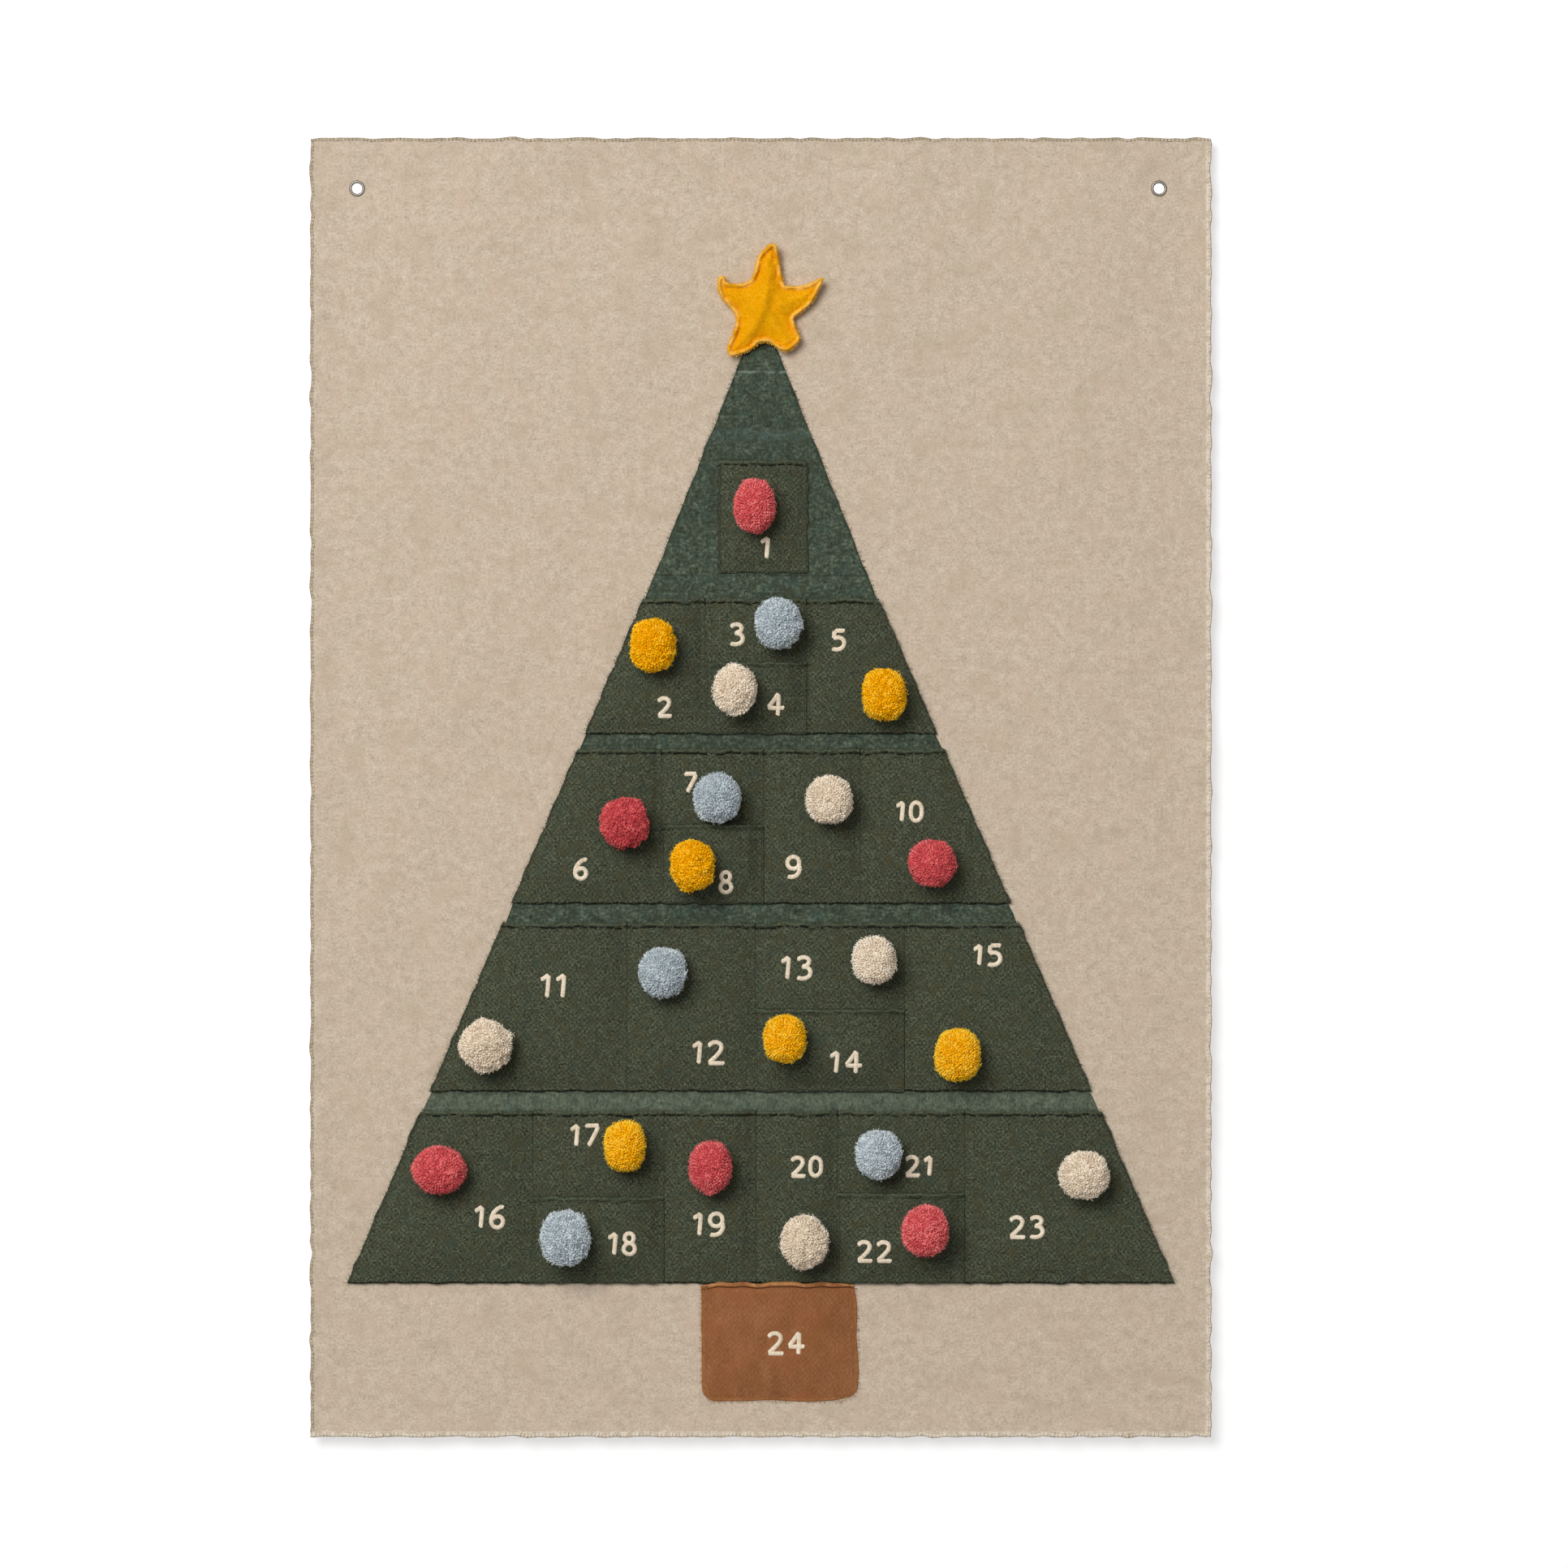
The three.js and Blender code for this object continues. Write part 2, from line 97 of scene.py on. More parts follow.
def linear(colour: str) -> tuple[float, float, float, float]:
    """Turn an sRGB hex value into the linear colour of a shader socket.

    Args:
        colour: six hex digits after a hash.
    Returns:
        Red, green, blue and a full alpha.
    """
    channels = [int(colour[start:start + 2], 16) / 255 for start in (1, 3, 5)]
    curve = [c / 12.92 if c <= 0.04045 else ((c + 0.055) / 1.055) ** 2.4 for c in channels]
    return (*curve, 1.0)


def add_node(tree: Nodes, kind: str, inputs: dict | None = None, **settings) -> bpy.types.Node:
    """Add one node with its settings and links.

    Args:
        tree: the tree that the node goes into.
        kind: the node's type.
        inputs: what each socket holds, by name or place. A socket or a node's first socket becomes a link,
            and a list of them becomes one link each.
        settings: the node's own properties, set before its sockets.
    Returns:
        The new node.
    """
    node = tree.nodes.new(kind)
    for name, value in settings.items():
        setattr(node, name, value)
    for key, value in (inputs or {}).items():
        for feed in value if isinstance(value, list) else [value]:
            if isinstance(feed, Feed):
                tree.links.new(feed.outputs[0] if isinstance(feed, bpy.types.Node) else feed, node.inputs[key])
            else:
                node.inputs[key].default_value = feed
    return node


def box_mm(node: str) -> tuple[Points, Points]:
    """Give the lowest and highest corner of a CAD node, in millimetres."""
    low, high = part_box(node)
    return np.array(low) / MM, np.array(high) / MM


@dataclass(frozen=True)
class Wander:
    """A smooth value that wanders by about its reach: waves of mixed length, from a fixed seed."""

    seed: int
    shortest: float
    longest: float
    reach: float
    waves: int = 16

    def _waves(self) -> list[tuple[float, float, float]]:
        """Draw the length, heading and phase of each wave."""
        chance = np.random.default_rng(self.seed)
        lengths = self.shortest * (self.longest / self.shortest) ** chance.random(self.waves)
        headings = chance.uniform(0, 2 * math.pi, self.waves)
        phases = chance.uniform(0, 2 * math.pi, self.waves)
        return list(zip(lengths, headings, phases))

    def along(self, place: Points) -> Points:
        """Give the value at places along a line."""
        total = sum(np.sin(2 * math.pi * place / length + phase) for length, _, phase in self._waves())
        return self.reach * total / math.sqrt(2 * self.waves)

    def over(self, across: Points, up: Points) -> Points:
        """Give the value at places on a surface."""
        total = 0.0
        for length, heading, phase in self._waves():
            run = across * math.cos(heading) + up * math.sin(heading)
            total = total + np.sin(2 * math.pi * run / length + phase)
        return self.reach * total / math.sqrt(2 * self.waves)


def fade(distance: Points, reach: float) -> Points:
    """Fall smoothly from 1 at no distance to 0 at the reach."""
    part = np.clip(distance / reach, 0, 1)
    return 1 - part * part * (3 - 2 * part)


def smooth_path(points: Path, closed: bool, steps: int = 6) -> list[tuple[float, ...]]:
    """Draw a smooth line through points.

    Args:
        points: the places that it goes through.
        closed: whether it comes back to its start.
        steps: how many places each stretch gets.
    Returns:
        The places along the line.
    """
    knots = [np.array(p, float) for p in points]
    count = len(knots)
    line = []
    for i in range(count if closed else count - 1):
        a = knots[(i - 1) % count] if closed or i > 0 else 2 * knots[0] - knots[1]
        b = knots[i]
        c = knots[(i + 1) % count]
        d = knots[(i + 2) % count] if closed or i + 2 < count else 2 * knots[-1] - knots[-2]
        for step in range(steps):
            t = step / steps
            bend = (2 * b) + (c - a) * t + (2 * a - 5 * b + 4 * c - d) * t ** 2 + (3 * b - a - 3 * c + d) * t ** 3
            line.append(tuple(bend / 2))
    return line if closed else [*line, tuple(knots[-1])]


# Meshes


def show(name: str, mesh: bpy.types.Mesh) -> Piece:
    """Put a mesh in the scene as a named object."""
    piece = bpy.data.objects.new(name, mesh)
    bpy.context.scene.collection.objects.link(piece)
    return piece


def make_piece(name: str, points: Points, faces: list, material: Material,
               marks: dict[str, Points] | None = None) -> Piece:
    """Make a smooth mesh with its flat cut as a UV map.

    Args:
        name: the piece's name.
        points: its corners in millimetres.
        faces: corner numbers of each face.
        material: its finish.
        marks: each corner's distance from the edges that the finish treats, in millimetres.
    Returns:
        The new object.
    """
    mesh = bpy.data.meshes.new(name)
    mesh.from_pydata((points * MM).tolist(), [], faces)
    mesh.materials.append(material)
    mesh.polygons.foreach_set("use_smooth", np.ones(len(mesh.polygons), bool))
    corners = np.zeros(len(mesh.loops), np.int32)
    mesh.loops.foreach_get("vertex_index", corners)
    mesh.uv_layers.new(name=CUT_MAP).data.foreach_set("uv", (points[corners][:, [0, 2]] * MM).ravel())
    for mark, distance in (marks or {}).items():
        mesh.attributes.new(mark, "FLOAT", "POINT").data.foreach_set("value", distance.astype(np.float32))
    mesh.set_sharp_from_angle(angle=math.radians(52))
    return show(name, mesh)


def make_path(name: str, lines: Sequence[Path], closed: bool = False) -> Piece:
    """Make lines of edges that thread is laid along, in millimetres.

    Args:
        name: the object's name.
        lines: the places along each line.
        closed: whether each line comes back to its start.
    Returns:
        The new object.
    """
    points = []
    edges = []
    for line in lines:
        first = len(points)
        points.extend(Vector(p) * MM for p in line)
        edges.extend((first + i, first + i + 1) for i in range(len(line) - 1))
        if closed:
            edges.append((len(points) - 1, first))
    mesh = bpy.data.meshes.new(name)
    mesh.from_pydata(points, edges, [])
    return show(name, mesh)


def lay_on(piece: Piece, depth: Callable[[Points, Points], Points]) -> None:
    """Press a flat piece onto cloth: each corner goes as far forward as the cloth under it."""
    mesh = piece.data
    flat = np.zeros(len(mesh.vertices) * 3, np.float32)
    mesh.vertices.foreach_get("co", flat)
    points = flat.reshape(-1, 3).astype(float)
    points[:, 1] += depth(points[:, 0] / MM, points[:, 2] / MM) * MM
    mesh.vertices.foreach_set("co", points.astype(np.float32).ravel())
    mesh.update()


def fit(piece: Piece, slot: str, body: str, node: str = "") -> Piece:
    """Hide the CAD node that a piece replaces, and hang the piece on the body that carries it.

    Args:
        piece: the piece.
        slot: not used.
        body: the body that it rides on, if one alone carries it.
        node: the CAD node that it replaces, if it does.
    Returns:
        The same piece.
    """
    if node:
        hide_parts(node)
    if body:
        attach(piece, body)
    return piece


def face_outwards(piece: Piece) -> Piece:
    """Turn a closed body's faces outwards, if its volume comes out negative."""
    mesh = piece.data
    mesh.calc_loop_triangles()
    volume = sum(mesh.vertices[a].co.dot(mesh.vertices[b].co.cross(mesh.vertices[c].co))
                 for a, b, c in (t.vertices for t in mesh.loop_triangles))
    if volume < 0:
        mesh.flip_normals()
    return piece


def tube_faces(rings: int, sides: int) -> list[list[int]]:
    """List the faces between rings of corners that are numbered ring by ring."""
    n = np.arange(rings * sides).reshape(rings, sides)
    ahead = np.roll(n, -1, 1)
    return np.stack([n[:-1], ahead[:-1], ahead[1:], n[1:]], -1).reshape(-1, 4).tolist()


@dataclass
class Sheet:
    """A closed sheet of cloth between a grid of points and a copy of it set back by the thickness."""

    front: Points
    thickness: float
    bulge: float = 0.3

    def __post_init__(self) -> None:
        """Number the grid and walk round its edge, anticlockwise from the front."""
        self.rows, self.columns = self.front.shape[:2]
        numbers = np.arange(self.rows * self.columns).reshape(self.rows, self.columns)
        self.numbers = numbers
        self.edge = np.concatenate([numbers[0, :-1], numbers[:-1, -1], numbers[-1, :0:-1], numbers[:0:-1, 0]])
        self.holes: list[tuple[int, int]] = []
        self.extra_points: list[Points] = []
        self.extra_faces: list[list[int]] = []
        back = self.front + np.array([0, self.thickness, 0])
        self.points = np.concatenate([self.front.reshape(-1, 3), back.reshape(-1, 3), self._rim(back)])

    def _rim(self, back: Points) -> Points:
        """Round the edge: a ring midway through the cloth that stands a little out of it."""
        front_ring = self.front.reshape(-1, 3)[self.edge]
        back_ring = back.reshape(-1, 3)[self.edge]
        run = np.roll(front_ring, -1, 0) - np.roll(front_ring, 1, 0)
        outward = np.stack([run[:, 2], np.zeros(len(run)), -run[:, 0]], 1)
        outward /= np.linalg.norm(outward, axis=1)[:, None] + 1e-9
        return (front_ring + back_ring) / 2 + outward * self.bulge * self.thickness

    def punch(self, column: int, row: int, radius: float, seat: float, seat_depth: float) -> None:
        """Cut a round hole with a wider seat behind it, at a crossing of the grid.

        Args:
            column: the crossing's column.
            row: the crossing's row.
            radius: the hole's radius.
            seat: the radius of the seat in the back.
            seat_depth: how far the seat reaches in from the back.
        """
        block = self.numbers[row - 2:row + 3, column - 2:column + 3]
        square = np.concatenate([block[0, :-1], block[:-1, -1], block[-1, :0:-1], block[:0:-1, 0]])
        self.holes += [(r, c) for r in range(row - 2, row + 2) for c in range(column - 2, column + 2)]
        middle = self.front[row, column]
        turns = np.arctan2(*(self.points[square][:, [2, 0]] - middle[[2, 0]]).T)
        rings = []
        back = middle[1] + self.thickness
        for reach, depth in ((radius, middle[1]), (radius, back - seat_depth), (seat, back - seat_depth), (seat, back)):
            ring = np.stack([middle[0] + reach * np.cos(turns), np.full(len(turns), depth),
                             middle[2] + reach * np.sin(turns)], 1)
            rings.append(len(self.points) + np.arange(len(ring)))
            self.points = np.concatenate([self.points, ring])
        chain = [square, *rings, square + self.rows * self.columns]
        for outer, inner in zip(chain, chain[1:]):
            for i, after in enumerate(np.roll(np.arange(len(square)), -1)):
                self.extra_faces.append([int(outer[i]), int(outer[after]), int(inner[after]), int(inner[i])])

    def faces(self) -> list[list[int]]:
        """List the faces of the front, the back, the rim and any holes."""
        n = self.numbers
        keep = np.ones((self.rows - 1, self.columns - 1), bool)
        for hole in self.holes:
            keep[hole] = False
        quads = np.stack([n[:-1, :-1], n[:-1, 1:], n[1:, 1:], n[1:, :-1]], -1)[keep]
        behind = self.rows * self.columns
        ring = 2 * behind + np.arange(len(self.edge))
        ahead = np.roll(self.edge, -1)
        ring_ahead = np.roll(ring, -1)
        rim_front = np.stack([self.edge, ring, ring_ahead, ahead], 1)
        rim_back = np.stack([ring, self.edge + behind, ahead + behind, ring_ahead], 1)
        whole = np.concatenate([quads, quads[:, ::-1] + behind, rim_front, rim_back])
        return [*whole.tolist(), *self.extra_faces]

    def build(self, name: str, material: Material, marks: dict[str, Points]) -> Piece:
        """Make the sheet's object."""
        return make_piece(name, self.points, self.faces(), material, marks)


# Finishes


class Weave(Enum):
    """How the face of a cloth looks."""

    BRUSHED = "raised fibres hide the weave"
    TWILL = "slanting ribs show through a light brushing"


@dataclass(frozen=True)
class Band:
    """A line of another tint at some distance from an edge."""

    edge: str
    at: float
    width: float
    tint: str
    share: float
    dash: float = 0.0


def start_material(name: str) -> tuple[Material, Nodes]:
    """Start a material whose tree is empty."""
    made = bpy.data.materials.new(name)
    made.use_nodes = True
    made.node_tree.nodes.clear()
    return made, made.node_tree


def grain(place: Feed, size: float, detail: float, distortion: float = 0.0) -> dict:
    """Give the inputs of a noise whose features are about one size, in millimetres."""
    return {"Vector": place, "Scale": 1 / (size * MM), "Detail": detail, "Roughness": 0.6, "Distortion": distortion}


def span(value: Feed, low: float, high: float, start: float, end: float) -> dict:
    """Give the inputs that carry one range of a value over to another."""
    return {"Value": value, "From Min": low, "From Max": high, "To Min": start, "To Max": end}


@dataclass(frozen=True)
class FibreFinish:
    """Fibres in three tones. They scatter light, so they are matt with a soft sheen.

    They are drawn a little coarser than they are, because the real ones don't show in the render.
    """

    name: str
    deep: str
    base: str
    lit: str
    _: KW_ONLY
    fibre: float = 1.8
    bump: float = 0.3
    patch: float = 22.0
    patch_share: float = 0.5
    roughness: float = 0.95
    specular: float = 0.08
    sheen: float = 0.12
    sheen_roughness: float = 0.5

    @staticmethod
    def weigh(tree: Nodes, value: Feed, share: float, base: Feed | float) -> Feed:
        """Add a share of a value's swing about its middle to a base."""
        swing = add_node(tree, MATH, {0: value, 1: 0.5}, operation="SUBTRACT")
        return add_node(tree, MATH, {0: swing, 1: share, 2: base}, operation="MULTIPLY_ADD")

    def colour(self, tree: Nodes, tone: Feed) -> Feed:
        """Turn a tone into the three colours, from deep to lit."""
        ramp = add_node(tree, "ShaderNodeValToRGB", {"Fac": tone})
        stops = ramp.color_ramp.elements
        stops[0].position, stops[0].color = 0.15, linear(self.deep)
        stops[1].position, stops[1].color = 0.85, linear(self.lit)
        stops.new(0.5).color = linear(self.base)
        return ramp

    def cover(self, tree: Nodes, colour: Feed, height: Feed) -> None:
        """Set the shader from a colour and the height of its fibres.

        Args:
            tree: the material's tree.
            colour: the colour.
            height: the height that the bumps follow.
        """
        bump = add_node(tree, "ShaderNodeBump", {"Height": height, "Distance": self.bump * MM, "Strength": 1.0})
        shader = add_node(tree, "ShaderNodeBsdfPrincipled", {
            "Base Color": colour, "Roughness": self.roughness, "Specular IOR Level": self.specular,
            "Sheen Weight": self.sheen, "Sheen Roughness": self.sheen_roughness, "Sheen Tint": linear(self.lit),
            "Normal": bump,
        })
        add_node(tree, "ShaderNodeOutputMaterial", {"Surface": shader})


@dataclass(frozen=True)
class ClothFinish(FibreFinish):
    """Woven cloth with a brushed face, and bands of other tints: some worn or sewn, some painted shade."""

    patch_tints: tuple[str, str]
    bands: tuple[Band, ...] = ()
    _: KW_ONLY
    mottle: float = 5.0
    drawn_out: tuple[float, float] = (1.0, 1.0)
    fibre_share: float = 1.0
    mottle_share: float = 0.5
    mottle_height: float = 0.6
    weave: Weave = Weave.BRUSHED
    rib: float = 3.0
    rib_slants: tuple[float, float] = (-38, 45)
    rib_share: float = 0.15
    rib_height: float = 0.4
    # The noise values between which a patch comes in, or a dash breaks off
    patch_edge: tuple[float, float] = (0.5, 0.68)
    dash_edge: tuple[float, float] = (0.42, 0.56)

    def material(self) -> Material:
        """Build the material: fibres, mottling, ribs, patches and bands of other tints, some bands painted shade."""
        made, tree = start_material(self.name)
        cut = add_node(tree, "ShaderNodeUVMap", uv_map=CUT_MAP)
        across, up = self.drawn_out
        laid = add_node(tree, VECTOR_MATH, {0: cut, 1: (1 / across, 1 / up, 1)}, operation="MULTIPLY")
        fibres = add_node(tree, NOISE, grain(laid, self.fibre, 1.5))
        mottling = add_node(tree, NOISE, grain(laid, self.mottle, 3.0, 0.3))
        tone = self.weigh(tree, fibres, self.fibre_share, 0.5)
        tone = self.weigh(tree, mottling, self.mottle_share, tone)
        height = self.weigh(tree, mottling, self.mottle_height, fibres)
        for slant in self.rib_slants if self.weave is Weave.TWILL else ():
            turned = add_node(tree, "ShaderNodeMapping", {"Vector": cut, "Rotation": (0, 0, math.radians(slant))})
            # The wave has pi ribs to a unit
            ribs = add_node(tree, "ShaderNodeTexWave", {
                "Vector": turned, "Scale": 1 / (self.rib * MM) / math.pi, "Distortion": 3.6, "Detail": 1.2,
                "Detail Scale": 1.5,
            }).outputs["Fac"]
            tone = self.weigh(tree, ribs, self.rib_share, tone)
            height = self.weigh(tree, ribs, self.rib_height, height)
        colour = self.colour(tree, tone)
        moved = cut
        layers = []
        for tint in self.patch_tints:
            moved = add_node(tree, VECTOR_MATH, {0: moved, 1: (1.7, 2.9, 0)}, operation="ADD")
            patches = add_node(tree, NOISE, grain(moved, self.patch, 3.0))
            layers.append((add_node(tree, RANGE, span(patches, *self.patch_edge, 0.0, self.patch_share)), tint))
        layers += [(self._band_part(tree, cut, band), band.tint) for band in self.bands]
        for part, tint in layers:
            colour = add_node(tree, "ShaderNodeMix", {0: part, 6: colour, 7: linear(tint)},
                              data_type="RGBA").outputs[2]
        self.cover(tree, colour, height)
        return made

    def _band_part(self, tree: Nodes, cut: Feed, band: Band) -> Feed:
        """Give a band's share of the colour, broken into dashes where the band says so.

        Args:
            tree: the material's tree.
            cut: the place on the flat cloth.
            band: the band.
        Returns:
            The share, from 0 to 1.
        """
        distance = add_node(tree, "ShaderNodeAttribute", attribute_name=band.edge).outputs["Fac"]
        off = add_node(tree, MATH, {0: distance, 1: band.at}, operation="SUBTRACT")
        off = add_node(tree, MATH, {0: off}, operation="ABSOLUTE")
        part = add_node(tree, RANGE, span(off, band.width * 0.4, band.width, band.share, 0.0))
        if band.dash:
            dashes = add_node(tree, NOISE, grain(cut, band.dash, 2.0))
            broken = add_node(tree, RANGE, span(dashes, *self.dash_edge, 0.1, 1.0))
            part = add_node(tree, MATH, {0: part, 1: broken}, operation="MULTIPLY")
        return part


@dataclass(frozen=True)
class ThreadFinish(FibreFinish):
    """Spun thread or yarn. Each strand has its own tone, and fine fibres along it break the light up."""

    _: KW_ONLY
    fibre: float = 0.7
    fibre_share: float = 0.3
    bump: float = 0.1
    patch: float = 9.0
    patch_share: float = 0.6
    roughness: float = 0.9
    sheen: float = 0.45
    sheen_roughness: float = 0.4

    def material(self) -> Material:
        """Build the material from the strand's tone and noise at the size of its fibres."""
        made, tree = start_material(self.name)
        place = add_node(tree, "ShaderNodeTexCoord").outputs["Object"]
        tone = add_node(tree, "ShaderNodeAttribute", attribute_name=TONE).outputs["Fac"]
        fibres = add_node(tree, NOISE, grain(place, self.fibre, 2.0))
        patches = add_node(tree, NOISE, grain(place, self.patch, 2.0))
        tone = self.weigh(tree, fibres, self.fibre_share, tone)
        tone = self.weigh(tree, patches, self.patch_share, tone)
        self.cover(tree, self.colour(tree, tone), fibres)
        return made


@dataclass(frozen=True)
class NickelFinish:
    """Aged nickel on pressed brass: a greyish shine, with fine haze where it was handled."""

    name: str = "aged_nickel_plated_brass"
    base: str = "#746e66"
    roughness: float = 0.36
    finger_mark: float = 2.5

    def material(self) -> Material:
        """Build the metal with a roughness that varies at the size of finger marks."""
        made, tree = start_material(self.name)
        place = add_node(tree, "ShaderNodeTexCoord").outputs["Object"]
        haze = add_node(tree, NOISE, grain(place, self.finger_mark, 3.0))
        rough = add_node(tree, RANGE, span(haze, 0.0, 1.0, self.roughness * 0.7, self.roughness * 1.6))
        shader = add_node(tree, "ShaderNodeBsdfPrincipled", {
            "Base Color": linear(self.base), "Metallic": 1.0, "Roughness": rough,
        })
        add_node(tree, "ShaderNodeOutputMaterial", {"Surface": shader})
        return made


class Finishes:
    """Every finish of the calendar, made once."""

    def __init__(self) -> None:
        """Make the materials."""
        self.cream = ClothFinish(
            "brushed_cream_wool_cloth", "#a18f79", "#c8b7a2", "#e3d6c3", ("#cbb39f", "#b9a78f"),
            (Band(HEM, 0.0, 1.5, "#8d8268", 0.55, 5.0), Band(PALE_HEM, 1.3, 3.0, "#eadfcd", 0.75, 5.0)),
            fibre=1.8, fibre_share=0.65, mottle=7.0, patch=26.0, patch_share=0.45, bump=0.35,
        ).material()
        self.melange = ClothFinish(
            "brushed_melange_cloth", "#262d25", "#454e40", "#6d7b69", ("#3b5048", "#40412f"),
            (Band(HEM, 0.0, 1.6, "#262a20", 0.6, 6.0), Band(RISE, 142.0, 17.0, "#7d8576", 0.16),
             Band(RISE, 141.0, 15.0, "#828a72", 0.26, 6.0), Band(RISE, 148.5, 3.5, "#3b3d2d", 0.4, 9.0),
             # The dark band at 731 mm up is painted shadow under the star, on the tree's tip
             Band(RISE, 640.0, 70.0, "#363d32", 0.25), Band(RISE, 731.0, 6.0, "#1c2019", 0.6),
             Band(RISE, 550.6, 1.1, "#272c22", 0.7, 9.0), Band(RISE, 659.6, 6.0, "#566a66", 0.4, 9.0),
             Band(RISE, 709.0, 1.3, "#8e9b8b", 0.45, 5.0)),
            fibre=2.2, drawn_out=(1.3, 1.1), fibre_share=1.1, mottle=6.5, mottle_share=0.9, patch=10.0, bump=0.4,
        ).material()
        self.pocket = ClothFinish(
            "brushed_olive_twill", "#292c1f", "#45493a", "#626853", ("#3d473b", "#48442f"),
            (Band(HEM, 0.0, 1.6, "#23261a", 0.6, 5.0), Band(SEAM, 0.0, 0.9, "#2b2d20", 0.15, 9.0),
             # The dark band 2.7 mm below the mouth is painted shade in the groove under the rolled rim
             Band(MOUTH, 0.8, 1.5, "#56604c", 0.6, 6.0), Band(MOUTH, 2.7, 1.8, "#15160f", 0.45, 11.0)),
            weave=Weave.TWILL, fibre=1.5, fibre_share=1.6, mottle_share=0.7, patch=12.0, patch_share=0.6,
            rib_share=0.13,
        ).material()
        self.trunk = ClothFinish(
            "brushed_tan_twill", "#724625", "#915e3d", "#ab7851", ("#995b3a", "#87582f"),
            # The dark band 3.2 mm in from the sewn edges is painted shade along the stitched groove
            (Band(HEM, 0.2, 1.5, "#ad7443", 0.6, 9.0), Band(HEM, 3.2, 0.9, "#6b4123", 0.55, 12.0),
             # The dark band 3.1 mm below the mouth is painted shade in the groove under the rolled rim
             Band(MOUTH, 0.9, 1.9, "#c38b57", 0.85, 9.0), Band(MOUTH, 3.1, 0.9, "#573013", 0.8)),
            weave=Weave.TWILL, fibre=1.7, drawn_out=(0.8, 1.8), fibre_share=0.6, rib_share=0.06, mottle=16.0,
            mottle_share=0.6, patch=26.0, bump=0.22,
        ).material()
        self.felt = ClothFinish(
            "pressed_yellow_felt", "#c17e00", "#e8a106", "#fcbc2e", ("#ec9a0c", "#dea104"),
            # The dark band 3.9 mm in is painted shade in the sewn groove inside the raised rim
            (Band(HEM, 1.0, 3.0, "#fcc75a", 0.85, 9.0), Band(HEM, 3.9, 1.0, "#a76a00", 0.2, 9.0)),
            fibre=1.6, fibre_share=0.7, mottle=4.5, patch=14.0, bump=0.35, specular=0.0,
        ).material()
        threads = {
            "felt_fibre": ThreadFinish("yellow_felt_fibre", "#d99610", "#f4b234", "#fdc75e", specular=0.0),
            "satin": ThreadFinish("cream_satin_thread", "#d0bfa6", "#f2e3cc", "#fff6e4", roughness=0.6, bump=0.06,
                                  fibre=0.6),
            "green_thread": ThreadFinish("dark_green_cotton_thread", "#0f100a", "#1d1f15", "#2f3225"),
            "seam_thread": ThreadFinish("olive_cotton_thread", "#343829", "#434738", "#535846"),
            "fray": ThreadFinish("frayed_olive_fibre", "#343a2d", "#4d5545", "#6d7864"),
            "fleck": ThreadFinish("pale_teal_wool_fleck", "#415044", "#55645a", "#77857a"),
            "hem_thread": ThreadFinish("cream_overlock_thread", "#c4b59f", "#ebdfcc", "#faf3e4"),
            # Drab thread for the left and top edges, also laid under the bottom edge as painted shade
            "shaded_hem_thread": ThreadFinish("drab_and_shade_overlock_thread", "#877b65", "#a69a82", "#bfb299"),
            "tan_thread": ThreadFinish("orange_tan_cotton_thread", "#8a5429", "#ad7443", "#cf9b66"),
            "tape": ThreadFinish("black_hook_tape", "#121210", "#23231f", "#3a3a35", fibre=0.8, bump=0.4),
        }
        for use, thread in threads.items():
            setattr(self, use, thread.material())
        self.nickel = NickelFinish().material()
        yarn = partial(ThreadFinish, sheen=0.15)
        yarns = {
            Yarn.RED: yarn("red_cotton_yarn", "#b33f45", "#dd5d5f", "#f68d8b", specular=0.0),
            Yarn.YELLOW: yarn("yellow_cotton_yarn", "#dc9302", "#fdbd0a", "#ffd84a", specular=0.0),
            Yarn.BLUE: yarn("pale_blue_cotton_yarn", "#939fa5", "#b9c4c9", "#e0e8eb"),
            Yarn.WHITE: yarn("natural_cotton_yarn", "#c8b59d", "#f2e1c9", "#fff8e9"),
        }
        self.yarns = {colour: finish.material() for colour, finish in yarns.items()}


class Yarn(Enum):
    """The pompoms' yarns."""

    RED = "yarn_red"
    YELLOW = "yarn_yellow"
    BLUE = "yarn_blue"
    WHITE = "yarn_white"


# Geometry Nodes trees


